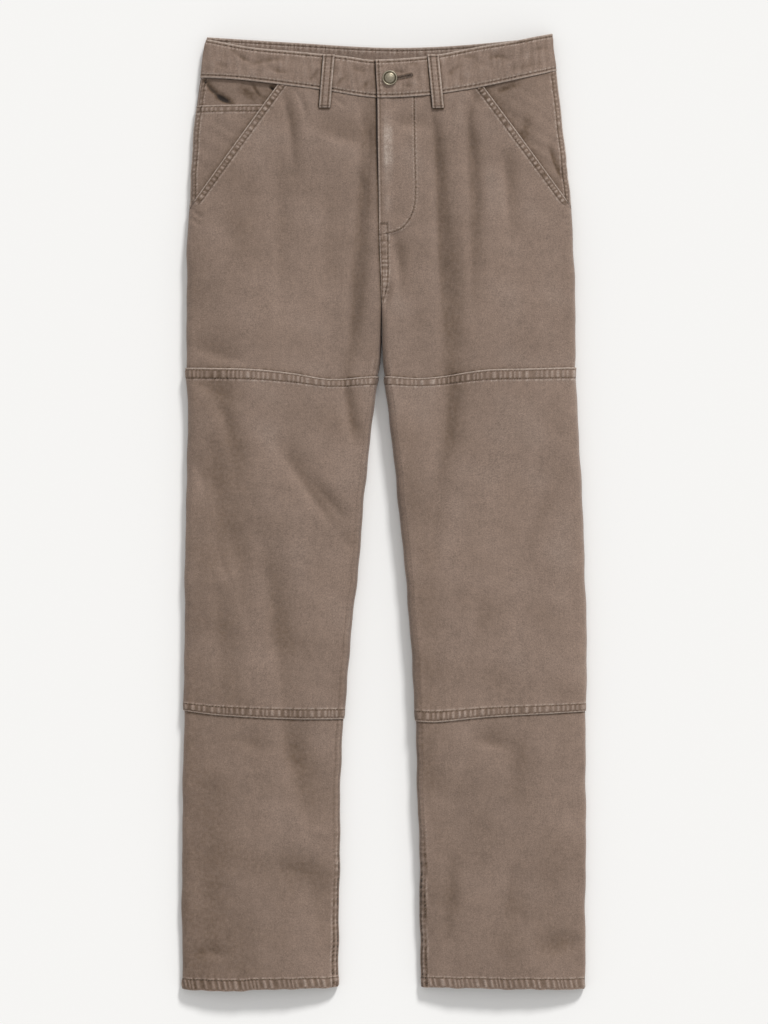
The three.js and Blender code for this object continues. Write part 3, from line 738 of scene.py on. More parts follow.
def stitched_line(d, s, at, seed, deep=0.22, wide=0.8):
    """One row of stitches in flat cloth."""
    waves = ripple(s, 5.2, seed)
    near = fading(d - at, 2.5)
    teeth = ripple(s + 0.6 * d, STITCH_PITCH, seed + 3)
    wear_and_shade = 0.4 * waves * near - (1.4 + 0.8 * teeth) * ridge(d, at, wide)
    wear_and_shade += (0.6 + 0.8 * teeth) * ridge(d, at + 1.5, 0.9)
    return np.stack([0.16 * waves * near - deep * ridge(d, at, wide), wear_and_shade])


def seed_for(leg, first, apart=100):
    """The seed of a right leg's piece, or the left one's, which is so far past it."""
    return first if leg == "right" else first + apart


def chain_lengths(points):
    return np.concatenate([[0], np.cumsum(np.linalg.norm(np.diff(points, axis=0), axis=1))])


def smooth_path(points, count=60):
    """A smooth path through a few places."""
    points = np.array(points, float)
    rows = {"s": chain_lengths(points), "x": points[:, 0], "y": points[:, 1]}
    s = np.linspace(0, rows["s"][-1], count)
    return np.stack([curve_through(rows, "s", "x")(s), curve_through(rows, "s", "y")(s)], -1)


fly_path = smooth_path(FLY_STITCHES)
crotch_paths = [smooth_path(row, 24) for row in CROTCH_ROWS]


def place_on_front(face, share, row):
    """Where a share of the front panel lies in a row, from the pocket's mouth, or the outseam, to its inner
    edge. A negative share lies in the mouth itself, and is -1 at the outseam."""
    y = row
    for _ in range(PASSES):
        mouth = face.share_of(face.across_at(slash_x(face.leg, y), y), y)
        start = np.where(row > MOUTH_LOW_Y, mouth, 0)
        at = np.where(share < 0, start * (1 + share), mix(start, 1, share))
        across = face.across_of(at, y)
        y = height_of_row(row, face.spread(across, y)[0], FRONT_BENDS)
    return across, y, start, at


def mottle_and_shade(x, y):
    """Tone of the plain cloth: mottled, with painted shade in its folds, towards the right leg's outseam and
    beside the left leg's inseam, and darker lower down."""
    lower = 1 - ease_between(*LOW_DARKENING_Y, y)
    from_outseam = x - outline["right_out"](y)
    # Painted shade towards the right leg's outseam, where that side of the leg turns away from the light
    darkening = OUTER_PAINTED_SHADE * (1 + 0.9 * lower) * (1 - ease_between(0, OUTER_SHADE_WIDE, from_outseam))
    darkening += LOW_DARKENING * lower
    # Painted shade beside the left leg's inseam, where its inner side slopes away from the light
    beside_inseam = between(x - outline["left_in"](y), 0, INNER_SHADE_WIDE, INNER_SHADE_WIDE / 2)
    darkening += INNER_PAINTED_SHADE * beside_inseam * ease_between(*INNER_SHADE_Y, y) * (1 - ease_between(0, CROTCH_Y, y))
    # Painted shade in the folds, and painted light on a ridge, shifted onto the flank that faces away from
    # the light
    folded = fold_depth("front", x - FOLD_SHADE_OFF, y - FOLD_SHADE_OFF / 2)
    return 0.1 * unevenness(1.7 * y, 1.3 * x) - darkening - FOLD_PAINTED_SHADE * np.minimum(folded, FOLD_SHADE_DEEPEST)


def felled(y, from_inner, seed):
    """The inseam's two rows of stitches, by their distance from the edge as seen from above. They show more
    on the shins."""
    puckers = ripple(y, FELL_PITCH, seed)
    inside = between(from_inner, 0.6, FELL_ROWS[1] + 0.5)
    relief = inside * (0.2 + 0.2 * ridged(puckers))
    wear_and_shade = inside * (0.5 * ridged(puckers))
    teeth = ripple(y, STITCH_PITCH, seed + 3)
    shows = 1 - 0.7 * ease_between(*FELL_SHOWS_Y, y)
    for seam_row in FELL_ROWS:
        relief -= 0.25 * ridge(from_inner, seam_row, 0.75)
        wear_and_shade -= (1.3 + 0.8 * teeth) * ridge(from_inner, seam_row, 0.8)
        wear_and_shade += (0.8 + 0.6 * teeth) * ridge(from_inner, seam_row + 1.5, 0.8)
    return np.stack([relief, wear_and_shade]) * shows


# The layers of each kind of piece. They take shares and rows, and give each place's share across the face,
# its height, how far the piece's outer and inner sides lie off the face there, and the wear and painted shade
# of both sides
def hem_thick(above_hem):
    """How thick the cloth is, with the hem turned up inside it."""
    return CLOTH + HEM_EXTRA * (1 - ease_between(HEM_DEEP, HEM_DEEP + 1.5, above_hem))


def fly_sewn(x, y, from_inner, seed):
    """The left front's sewing at the fly: curved stitches, a rubbed ridge, the edge and the crotch's rows."""
    open_fly = ease_between(LAP_ENDS_Y - 8, LAP_ENDS_Y + 12, y)
    relief, wear_and_shade = stitched_line(nearest_on(fly_path, x, y)[0], y + 0.7 * x, 0, seed, 0.28, 0.9) * open_fly
    starts = ease_between(*FLY_RIDGE_Y, y)
    raised = ridge(from_inner, 9, 2.6) * starts
    rubbed = 0.6 + 0.4 * wander(y, 26, seed + 1) + 0.15 * wander(y, 7, seed + 3)
    rubbed *= starts * (0.45 + 0.85 * between(y, *FLY_RUBBED_Y, 12))
    relief += 0.45 * raised + open_fly * 0.12 * ripple(y, 8.5, seed + 2) * ridge(from_inner, 4, 5)
    wear_and_shade += (1.2 * raised + 0.7 * ridge(from_inner, 14, 3)) * rubbed
    wear_and_shade += open_fly * (0.9 * ridge(from_inner, 1.0, 1.0) - 0.7 * ridge(from_inner, 2.9, 0.8))
    wear_and_shade -= 1.4 * between(from_inner, 1.5, 10, 0.5) * ridge(y, FLY_TACK_Y, 1.2)
    rungs = ridged(ripple(y, CROTCH_PITCH, seed + 5)) * between(from_inner, 1.5, 9, 0.8)
    rungs *= between(y, *CROTCH_RUNGS_Y, 4)
    sewn = np.stack([relief + 0.3 * rungs, wear_and_shade + 0.7 * rungs])
    for path in crotch_paths:
        sewn += stitched_line(nearest_on(path, x, y)[0], y, 0, seed + 4, 0.3, 0.9)
    return sewn


def fly_shade(x, y):
    """How dark the right front is beside the left front's lap."""
    beside = np.clip(outline["left_in"](y) - x, 0, None)
    shaded = 3.2 * ridge(beside, 0, 2.0) + 0.25 * fading(beside, 8)
    return shaded * (0.35 * ease_between(CROTCH_Y, CROTCH_OPENS_Y, y) + 0.65 * ease_between(*FLY_SHADED_Y, y))


def front_layers(face, share, row):
    seed = seed_for(face.leg, 100)
    across, y, start, at = place_on_front(face, share, row)
    x = face.spread(across, y)[0]
    from_outer, from_inner = (at - start) * face.total(y), (1 - at) * face.total(y)
    outer_x, inner_x, _ = face.section(y)
    above_hem, below_waist = row - LOW_Y, HIGH_Y - row
    sewn = np.stack([0 * x, mottle_and_shade(x, y)])
    # The two rows of sewn itself: what is added to them is added to sewn too, and the other way round
    relief, wear_and_shade = sewn

    hem = sewn_edge(above_hem, x, HEM_ROWS, HEM_PITCH, seed, height=0.45, slant=0.2, contrast=0.7)
    sewn += hem * (1 - ease_between(*HEM_PUCKERS, above_hem))
    slanted = from_outer * SLASH_LEAN
    sideways = (1 if face.leg == "right" else -1) * math.sqrt(1 - SLASH_LEAN**2)
    in_mouth = ease_between(MOUTH_LOW_Y, MOUTH_LOW_Y + 9, row)
    along_slash = SLASH_LEAN * y + sideways * x
    slash = sewn_edge(slanted, along_slash, POCKET_ROWS, SLASH_PITCH, seed + 10, contrast=1.0)
    sewn += slash * in_mouth * (1 - ease_between(*POCKET_PUCKERS, slanted))
    wear_and_shade += (1 - in_mouth) * 0.3 * ridge(np.abs(x - outer_x), 1.2, 1.2)
    below_crotch = 1 - ease_between(CROTCH_Y - 6, CROTCH_Y + 16, y)
    sewn += felled(y, np.abs(x - inner_x), seed + 20) * below_crotch

    at_waist = fading(below_waist, 2.2)
    relief += 0.22 * ripple(x, 12, seed + 30) * fading(below_waist, 9) - 0.3 * at_waist
    # Painted shadow under the waistband's lower edge, and the belt loops' painted shadows
    wear_and_shade -= 0.5 * at_waist + 1.4 * loop_painted_shadow(x, y)
    # Painted shadow lines just outside the knee panel's top and bottom edges
    for gap in (row - KNEE_TOP_Y, KNEE_BOTTOM_Y - row):
        wear_and_shade -= (0.8 + 0.7 * ripple(x, STITCH_PITCH, seed + 41)) * fading(gap, 1.3)
        relief += 0.2 * ripple(x, 6.8, seed + 40) * fading(gap, 7)

    raised = 0 * x
    if face.leg == "left":
        raised = fly_raise(x, y)
        sewn += fly_sewn(x, y, from_inner, seed + 50)
    else:
        wear_and_shade -= fly_shade(x, y)
    out = raised + relief - rounded(from_outer, np.abs(above_hem))
    out -= rounded(from_inner) * np.where(y > CROTCH_OPENS_Y, 1, 0.6)
    return across, y, out, raised - hem_thick(above_hem), wear_and_shade, 0 * wear_and_shade


def knee_layers(face, share, row):
    seed = seed_for(face.leg, 300)
    across, y, _, at = place_on_front(face, share, row)
    x = face.spread(across, y)[0]
    total = face.total(y)
    outer_x, inner_x, _ = face.section(y)
    from_outer, from_inner = at * total, (1 - at) * total
    from_top, from_low = KNEE_TOP_Y - row, row - KNEE_BOTTOM_Y
    top_relief, top_wear = sewn_edge(from_top, x, EDGE_ROWS, KNEE_PITCH["top"], seed)
    low_relief, low_wear = sewn_edge(from_low, x, EDGE_ROWS, KNEE_PITCH["low"], seed + 10)
    fell_relief, fell_wear = felled(y, np.abs(x - inner_x), seed + 20)
    relief = top_relief + low_relief + 0.5 * fell_relief
    wear_and_shade = top_wear + low_wear + 0.6 * fell_wear + mottle_and_shade(x, y) + 0.3 * ridge(np.abs(x - outer_x), 1.2, 1.2)
    edge = rounded(from_outer, from_inner, from_top, from_low) + 0.45 * fading(from_low, 3)
    return across, y, SEAM_GAP + CLOTH + relief - edge, 0 * x + SEAM_GAP, wear_and_shade, 0 * wear_and_shade


def back_layers(face, share, row):
    seed = seed_for(face.leg, 500)
    y = row
    for _ in range(PASSES):
        across = face.across_of(share, y)
        y = height_of_row(row, face.spread(across, y)[0], BACK_BENDS)
    x = face.spread(across, y)[0]
    above_hem = row - LOW_Y
    from_outer, from_inner = share * face.total(y), (1 - share) * face.total(y)
    relief, wear_and_shade = sewn_edge(above_hem, x, HEM_ROWS, HEM_PITCH, seed, height=0.2, slant=0.55)
    fades = 1 - ease_between(*HEM_PUCKERS, above_hem)
    relief, wear_and_shade = (relief - 0.25) * fades, wear_and_shade * fades
    wear_and_shade -= 0.5 * ridge(from_inner, BACK_SEAM_ROW, 1) - 0.3 * ridge(from_inner, BACK_SEAM_ROW + 2, 1)
    relief -= 0.6 * ridge(from_inner, BACK_SEAM_ROW, 1.2)
    # Painted shade under the back waistband's edge
    wear_and_shade -= 0.7 * fading(HIGH_Y - row, 2.2)
    edge = rounded(from_outer, from_inner, above_hem)
    return across, y, np.minimum(relief, 0) - edge, -hem_thick(above_hem) + 0 * x, wear_and_shade, 0 * wear_and_shade


def pocket_layers(depth, seed, sewn_top):
    """The facing, or the coin pocket on it. depth is how far further in it lies than the uppermost piece."""

    def layers(face, share, row):
        across, y, start, at = place_on_front(face, share, row)
        x = face.spread(across, y)[0]
        total = face.total(y)
        from_outer = at * total
        from_side = np.abs(x - face.section(y)[0])
        sewn = sewn_edge(from_side, y, SIDE_ROWS, SIDE_PITCH, seed, 0.22)
        sewn *= 1 - ease_between(*SIDE_PUCKERS, from_side)
        gapes = 0 * x if sewn_top else fold_depth("pocket", x, y)
        if sewn_top:
            from_top = COIN_POCKET_TOP_Y - row
            top = sewn_edge(from_top, x, POCKET_ROWS, COIN_POCKET_PITCH, seed + 10)
            sewn += top * (1 - ease_between(*POCKET_PUCKERS, from_top))
            sewn[0] -= rounded(from_top)
        else:
            # Painted shade under the waistband's edge and over the facing's upper part
            sewn[1] -= 0.2 * fading(HIGH_Y - row, 2.2) + 0.3 * fading(HIGH_Y - row, 45)
        # The gaping creases are painted dark as the shade inside them
        relief, wear_and_shade = sewn[0] - gapes, sewn[1] - 1.1 * gapes
        beside = (start - at) * total * SLASH_LEAN
        # Painted shade beside the front's cut edge, over the facing in the pocket's mouth
        wear_and_shade -= 0.7 * fading(beside, 1.8) + 0.4 * fading(beside, 14)
        relief += 0.3 * ripple(y + 0.6 * x, 23, seed + 20) * between(beside, 3, 40, 4)
        out = -(CLOTH + SEAM_GAP) * np.minimum(1 + share, 1) - depth
        top = out + relief - rounded(from_outer)
        return across, y, np.minimum(top, out + 0.35 * (share < 0)), out - THIN_CLOTH - gapes, wear_and_shade, 0 * wear_and_shade

    return layers


def band_raise(x, y):
    from_end = x - outline["left_in"](y)
    return BAND_RAISE * (1 - ease_between(BAND_RAISE_WIDE, BAND_RAISE_WIDE + BAND_RAISE_SOFT, from_end))


def band_place(face, share, v, low_line, high_line):
    y = np.full(share.shape, float(HIGH_Y))
    for _ in range(PASSES):
        across = face.across_of(share, y)
        x = face.spread(across, y)[0]
        y = mix(low_line(x), high_line(x), v)
    x = face.spread(across, y)[0]
    return across, x, y, mix(0, high_line(x) - low_line(x), v)


def loop_painted_shadow(x, y):
    """How much painted shadow a belt loop casts on a place beside it or under its low end, from 0 to 1.5."""
    total = np.zeros(x.shape)
    for side, _, top, low in LOOPS.values():
        if side == "back":
            continue
        v = (y - low[1]) / (top[1] - low[1])
        beside = mix(low[0], top[0], v) - x
        outside = np.abs(beside) - LOOP_WIDE / 2
        below = low[1] - y
        deeper = np.where(beside > 0, 1.5, 0.6)
        total += deeper * ridge(np.maximum(outside, 0), 0, 1.5) * between(v, 0, 1, 0.02) * (outside > -2)
        total += ridge(np.maximum(below, 0), 0, 1.8) * between(outside, -LOOP_WIDE, 0, 0.8) * (below > -2)
    return np.clip(total, 0, 1.5)


def band_relief(x, from_low, from_top, seed):
    """Two rows of stitches, with fine wrinkles that run across the band between them."""
    top_row, low_row = BAND_ROWS
    sewn = stitched_line(from_top, x, top_row, seed, 0.3)
    sewn += stitched_line(from_low, x, low_row, seed + 10, 0.3)
    relief, wear_and_shade = sewn[0], 1.25 * sewn[1]
    inside = between(from_top, top_row + 1, 60, 3) * between(from_low, low_row + 1, 60, 3)
    wrinkles = ripple(x + 0.12 * from_low, 9.5, seed + 20) + 0.5 * ripple(x - 0.2 * from_low, 5.1, seed + 30)
    patches = wander(x + 0.8 * from_low, 17, seed + 40) * wander(x - 1.4 * from_low, 23, seed + 50)
    relief += (0.16 * wrinkles + 0.3 * patches + 0.35) * inside
    wear_and_shade += (0.14 * wrinkles + 0.2 * patches - 0.1) * inside + 0.05
    wear_and_shade += 1.4 * ridge(from_top, 0.6, 1.1) + 1.1 * ridge(from_low, 1.0, 1.0)
    return relief, wear_and_shade


def front_band_layers(face, share, v):
    seed = seed_for(face.leg, 700)
    across, x, y, from_low = band_place(face, share, v, waist_seam, band_top)
    from_top = band_top(x) - y
    relief, wear_and_shade = band_relief(x, from_low, from_top, seed)
    creased = fold_depth("band", x, y)
    # The band's creases are painted darker as shade, and the belt loops' shadows are painted on it
    relief, wear_and_shade = relief - 1.1 * creased, wear_and_shade - 0.75 * creased - 1.3 * loop_painted_shadow(x, y)
    raised = 0 * x
    from_inner = (1 - share) * face.total(y)
    if face.leg == "left":
        raised = band_raise(x, y)
        end_relief, end_wear = stitched_line(from_inner, y, BAND_END_ROW, seed + 40, 0.25)
        relief, wear_and_shade = relief + end_relief, wear_and_shade + end_wear + 0.6 * ridge(from_inner, 0.3, 1.0)
        away = nearest_on(np.array(BUTTON_HOLE), x, y)[0]
        dashes = 1 + 0.5 * ripple(x + 0.5 * y, 2.6, seed + 50)
        relief -= 0.5 * ridge(away, 0, 0.8)
        wear_and_shade -= 1.2 * ridge(away, 0, 1.0) + 1.7 * dashes * ridge(away, 1.6, 1.1)
    else:
        beside = np.clip(outline["left_in"](y) - x, 0, None)
        # Painted shadow on the right end of the band, beside the lapped left end's edge
        wear_and_shade -= 1.8 * ridge(beside, 0, 1.9) + 0.3 * fading(beside, 6)
    edge = rounded(share * face.total(y), from_inner, from_top, from_low)
    out = BAND_PROUD + raised
    return across, y, out + relief - edge, out - BAND_THICK, wear_and_shade, 0 * wear_and_shade


def back_band_layers(leg):
    seed = seed_for(leg, 900, 50)

    def layers(face, share, v):
        across, x, y, from_low = band_place(face, share, v, back_waist_seam, back_band_top)
        from_top = back_band_top(x) - y
        relief, wear_and_shade = band_relief(x, from_low, from_top, seed)
        edge = rounded(share * face.total(y), from_top, from_low)
        out = BAND_PROUD + np.minimum(relief - 0.35, 0) - edge
        inside = BAND_PROUD - BAND_THICK - relief * 0.8 + 0.5 * rounded(from_top)
        wear_and_shade += 0.55 * ripple(x, 5.6, seed + 60) * between(from_top, 0.5, 9, 2) + 0.12
        return across, y, out, inside, wear_and_shade, wear_and_shade

    return layers


def loop_layers(face_side, top, low, seed):
    seam = waist_seam if face_side == "front" else back_waist_seam
    thick, bow = LOOP_THICK[face_side], LOOP_BOW[face_side]

    def layers(face, share, v):
        sideways = (share - 0.5) * LOOP_WIDE * (1 if face.leg == "right" else -1)
        x = mix(low[0], top[0], v) + sideways
        y = mix(low[1], top[1], v)
        on_band = ease_between(seam(x) - LOOP_WIDE, seam(x) - SEAM_GAP, y)
        under = mix(SEAM_GAP * 2, BAND_PROUD + SEAM_GAP, on_band) + bow * np.sin(np.pi * v)
        from_side = (0.5 - np.abs(share - 0.5)) * LOOP_WIDE
        long = top[1] - low[1]
        from_end = np.minimum(v, 1 - v) * long
        waves = ripple(y, 5.4, seed)
        rows = ridge(from_side, LOOP_ROW, 0.75) * (1 + 0.4 * ripple(y, STITCH_PITCH, seed + 4))
        relief = 0.12 * waves - 0.4 * rows + 0.15 * ridge(from_side, 6.5, 2.5)
        wear_and_shade = 1.3 * ridge(from_side, 0.4, 1.1) - (1.7 + 0.5 * waves) * rows + 0.25 * waves + 0.2
        wear_and_shade += 0.9 * ridge(from_end, 0.5, 1.0) - 1.2 * ridge(from_end, 2.6, 0.8)
        edge = rounded(from_side, from_end)
        if face_side == "back":
            relief = np.minimum(relief, 0)
        return face.across_at(x, y), y, under + thick + relief - edge, under, wear_and_shade, 0 * wear_and_shade

    return layers


# Nets and shells
def steps_over(long, step, edge_step=None, edge_wide=12):
    """Places along a length, closer together at its two ends, with an odd number of them."""
    ends = list(EDGE_STEPS)
    if edge_step:
        ends += list(np.arange(EDGE_STEPS[-1] + edge_step, edge_wide, edge_step))
    count = max(2, round((long - 2 * ends[-1]) / step))
    count += (count + 1 + 2 * (len(ends) - 1) + 1) % 2
    middle = np.linspace(ends[-1], long - ends[-1], count + 1)
    return np.concatenate([ends[:-1], middle, long - np.array(ends[:-1])[::-1]])


def shares_over(long, step, edge_step=None):
    return steps_over(long, step, edge_step) / long


def rows_in(*zones):
    """Rows of points. Each zone gives its rows' heights and the shares across them."""
    return [(float(row), shares) for rows, shares in zones for row in rows]


def through(marks, step):
    """Places that pass through every mark, evenly between them, up to, but not with, the last."""
    return np.concatenate([span(low, high, step) for low, high in zip(marks[:-1], marks[1:])])


def span(low, high, step):
    """Heights from low up to, but not with, high."""
    count = max(1, round((high - low) / step))
    return low + (high - low) * np.arange(count) / count


def zip_lines(a, at_a, b, at_b):
    """Faces between two lines of points, each given by its indices and their places along it."""
    if len(a) == len(b):
        return np.stack([a[:-1], a[1:], b[1:], b[:-1]], -1), np.zeros((0, 3), int)
    faces, i, j = [], 0, 0
    while i < len(a) - 1 or j < len(b) - 1:
        if j == len(b) - 1 or (i < len(a) - 1 and at_a[i + 1] <= at_b[j + 1]):
            faces.append((a[i], a[i + 1], b[j]))
            i += 1
        else:
            faces.append((a[i], b[j + 1], b[j]))
            j += 1
    return np.zeros((0, 4), int), np.array(faces)


class Net:
    """Rows of points on a face, each with its own shares."""

    def __init__(self, rows, first=0):
        self.rows = rows
        counts = [len(shares) for _, shares in rows]
        starts = first + np.concatenate([[0], np.cumsum(counts)])
        self.lines = [np.arange(starts[i], starts[i + 1]) for i in range(len(rows))]
        self.share = np.concatenate([shares for _, shares in rows])
        self.row = np.concatenate([np.full(len(shares), row) for row, shares in rows])
        self.heights = np.array([row for row, _ in rows])
        self.end = starts[-1]

    def faces(self):
        return [
            zip_lines(self.lines[i], self.rows[i][1], self.lines[i + 1], self.rows[i + 1][1])
            for i in range(len(self.rows) - 1)
        ]

    def side(self, at):
        return np.array([line[at] for line in self.lines])

    def coarser(self, every):
        """The same rows and columns with only some of them kept, and both ends."""
        kept = sorted({*range(0, len(self.rows), every), len(self.rows) - 1})
        return Net([(self.rows[i][0], self.rows[i][1][::every]) for i in kept], self.end)


def put_in_scene(name, data):
    thing = bpy.data.objects.new(name, data)
    bpy.context.scene.collection.objects.link(thing)
    return thing


def split(quads, triangles):
    """Four-sided faces split in two, followed by the three-sided ones."""
    return np.concatenate([quads[:, [0, 1, 2]], quads[:, [0, 2, 3]], triangles])


def turned_faces(rings, sides):
    """Faces of a closed form about an axis: an end point, rings of points, and the other end point."""
    i = np.arange(sides)
    j = (i + 1) % sides
    low = 1 + np.arange(rings - 1)[:, None] * sides
    top = 1 + (rings - 1) * sides
    quads = np.stack([low + i, low + j, low + sides + j, low + sides + i], -1).reshape(-1, 4)
    ends = [np.stack([0 * i, 1 + j, 1 + i], -1), np.stack([top + i, top + j, 0 * i + top + sides], -1)]
    return quads, np.concatenate(ends)


def new_mesh(name, points, quads, triangles, wear_and_shade=None):
    """A Blender object from points in mm and faces, turned so that they face out."""
    corners = split(quads, triangles)
    a, b, c = (points[corners[:, k]] for k in range(3))
    if np.einsum("ij,ij->i", a, np.cross(b, c)).sum() < 0:
        quads, triangles = quads[:, ::-1], triangles[:, ::-1]
    mesh = bpy.data.meshes.new(name)
    mesh.vertices.add(len(points))
    mesh.vertices.foreach_set("co", (points * MM).astype(np.float32).ravel())
    loops = np.concatenate([quads.ravel(), triangles.ravel()])
    mesh.loops.add(len(loops))
    mesh.loops.foreach_set("vertex_index", loops.astype(np.int32))
    starts = np.concatenate([np.arange(len(quads)) * 4, len(quads) * 4 + np.arange(len(triangles)) * 3])
    mesh.polygons.add(len(starts))
    mesh.polygons.foreach_set("loop_start", starts.astype(np.int32))
    mesh.update(calc_edges=True)
    mesh.shade_smooth()
    if wear_and_shade is not None:
        # One attribute holds both wear and painted shade
        layer = mesh.attributes.new("wear_and_shade", "FLOAT", "POINT")
        layer.data.foreach_set("value", wear_and_shade.astype(np.float32))
    return put_in_scene(name, mesh)


def shell_parts(face, rows, layers, every):
    """The points, faces, and wear and painted shade of a closed cloth wall over rows of places. Its inner
    side is coarser.
    """
    net = Net(rows)
    under = net.coarser(every)
    across, y, out, _, wear_and_shade, _ = layers(face, net.share, net.row)
    outer, _ = face.off(across, y, out)
    across, y, _, inn, _, wear_and_shade_in = layers(face, under.share, under.row)
    inner, _ = face.off(across, y, inn)
    sides = [
        zip_lines(under.lines[0], under.rows[0][1], net.lines[0], net.rows[0][1]),
        zip_lines(net.lines[-1], net.rows[-1][1], under.lines[-1], under.rows[-1][1]),
        zip_lines(under.side(-1), under.heights, net.side(-1), net.heights),
        zip_lines(net.side(0), net.heights, under.side(0), under.heights),
    ]
    turned = [(quads[:, ::-1], triangles[:, ::-1]) for quads, triangles in under.faces()]
    faces = net.faces() + turned + sides
    quads = np.concatenate([f[0] for f in faces])
    triangles = np.concatenate([f[1] for f in faces])
    return np.concatenate([outer, inner]), quads, triangles, np.concatenate([wear_and_shade, wear_and_shade_in])


# Stitches
def stitch_template():
    """One stitch along x, from -1 to 1, with a radius of 1 in y and z and, last, how far it dips there."""
    angles = np.arange(STITCH_SIDES) * 2 * np.pi / STITCH_SIDES
    points = [(-1, 0, 0, 1)]
    for along, radius in STITCH_RINGS:
        points += [(along, radius * math.cos(a), radius * math.sin(a), along * along) for a in angles]
    return np.array([*points, (1, 0, 0, 1)], float), split(*turned_faces(len(STITCH_RINGS), STITCH_SIDES))


TEMPLATE, TEMPLATE_FACES = stitch_template()


def stitches_at(centres, ways, normals, long=STITCH_LONG, radius=THREAD_RADIUS, dip=0.3):
    """Many stitches, one at each centre, along its way over the cloth."""
    ways = ways / np.linalg.norm(ways, axis=1, keepdims=True)
    beside = np.cross(normals, ways)
    beside /= np.linalg.norm(beside, axis=1, keepdims=True)
    up = np.cross(ways, beside)
    t = TEMPLATE
    points = (
        centres[:, None]
        + ways[:, None] * (t[:, 0] * long / 2)[None, :, None]
        + beside[:, None] * (t[:, 1] * radius)[None, :, None]
        + up[:, None] * (t[:, 2] * radius - t[:, 3] * dip)[None, :, None]
    )
    faces = TEMPLATE_FACES[None] + (np.arange(len(centres)) * len(t))[:, None, None]
    return points.reshape(-1, 3), faces.reshape(-1, 3)


def along_path(face, layers, share, row, pitch, first, reach):
    """Places at a pitch along a path over a piece's outer side, with the path's way and the normal there."""
    across, y, out, _, _, _ = layers(face, share, row)
    points, normals = face.off(across, y, out - STITCH_SINK)
    s = chain_lengths(points)
    places = np.arange(first, s[-1], pitch)

    def read(rows, at):
        return np.stack([np.interp(at, s, rows[:, k]) for k in range(3)], -1)

    ways = read(points, places + reach) - read(points, places - reach)
    return read(points, places), ways, read(normals, places)


def stitch_row(face, layers, share, row, pitch=STITCH_PITCH, **sizes):
    """Stitches end to end along a path over a piece, given by many shares and rows."""
    return stitches_at(*along_path(face, layers, share, row, pitch, pitch / 2, 0.5), **sizes)


def satin(face, layers, share, row, wide, pitch=0.55, radius=0.24):
    """Stitches side by side across a path, as in a bar tack or around a buttonhole."""
    centres, ways, normals = along_path(face, layers, share, row, pitch, 0, 0.3)
    return stitches_at(centres, np.cross(normals, ways), normals, long=wide, radius=radius, dip=0.25)


def sewing(name, rows):
    """Rows of stitches joined into one object."""
    points, faces, first = [], [], 0
    for row_points, row_faces in rows:
        points.append(row_points)
        faces.append(row_faces + first)
        first += len(row_points)
    return new_mesh(name, np.concatenate(points), np.zeros((0, 4), int), np.concatenate(faces))


# Materials
CANVAS = (0.247, 0.177, 0.138)
CANVAS_PALE = (0.40, 0.325, 0.275)
CANVAS_DARK = (0.112, 0.072, 0.046)
CANVAS_DEEP = (0.026, 0.018, 0.014)
THREAD = (0.155, 0.110, 0.084)
METAL_DARK = (0.085, 0.068, 0.042)
METAL_BRIGHT = (0.46, 0.41, 0.31)
FLOOR_COLOUR = (0.902, 0.894, 0.878)
WEAVE_PITCH = 0.9
WEAVE_BUMP = 0.12


class Nodes:
    """A short way to write a material's nodes."""

    def __init__(self, material):
        material.use_nodes = True
        self.tree = material.node_tree
        self.shader = self.tree.nodes["Principled BSDF"]
        self.place = self.add("ShaderNodeTexCoord").outputs["Object"]

    def add(self, kind, **settings):
        node = self.tree.nodes.new(kind)
        for name, value in settings.items():
            setattr(node, name, value)
        return node

    def put(self, value, socket):
        if isinstance(value, bpy.types.NodeSocket):
            self.tree.links.new(value, socket)
        else:
            socket.default_value = value

    def math(self, kind, a, b=0.0, c=0.0):
        node = self.add("ShaderNodeMath", operation=kind)
        for value, socket in zip((a, b, c), node.inputs):
            self.put(value, socket)
        return node.outputs[0]

    def noise(self, scale, detail=2.0, rough=0.5, stretch=(1, 1, 1)):
        mapping = self.add("ShaderNodeMapping")
        self.put(self.place, mapping.inputs["Vector"])
        mapping.inputs["Scale"].default_value = stretch
        node = self.add("ShaderNodeTexNoise")
        self.put(mapping.outputs[0], node.inputs["Vector"])
        node.inputs["Scale"].default_value = scale
        node.inputs["Detail"].default_value = detail
        node.inputs["Roughness"].default_value = rough
        return node.outputs["Fac"]

    def span(self, value, low, high, to_low, to_high):
        node = self.add("ShaderNodeMapRange")
        for name, number in zip(("From Min", "From Max", "To Min", "To Max"), (low, high, to_low, to_high)):
            node.inputs[name].default_value = number
        self.put(value, node.inputs["Value"])
        return node.outputs["Result"]

    def blend(self, share, a, b):
        node = self.add("ShaderNodeMix", data_type="RGBA")
        self.put(share, node.inputs["Factor"])
        for value, socket in ((a, node.inputs["A"]), (b, node.inputs["B"])):
            self.put(value if isinstance(value, bpy.types.NodeSocket) else (*value, 1), socket)
        return node.outputs["Result"]

    def brighten(self, colour, factor):
        node = self.add("ShaderNodeVectorMath", operation="SCALE")
        self.put(colour, node.inputs[0])
        self.put(factor, node.inputs["Scale"])
        return node.outputs[0]

    def bump(self, height, strength, distance, normal=None):
        node = self.add("ShaderNodeBump")
        node.inputs["Strength"].default_value = strength
        node.inputs["Distance"].default_value = distance
        self.put(height, node.inputs["Height"])
        if normal is not None:
            self.put(normal, node.inputs["Normal"])
        return node.outputs["Normal"]


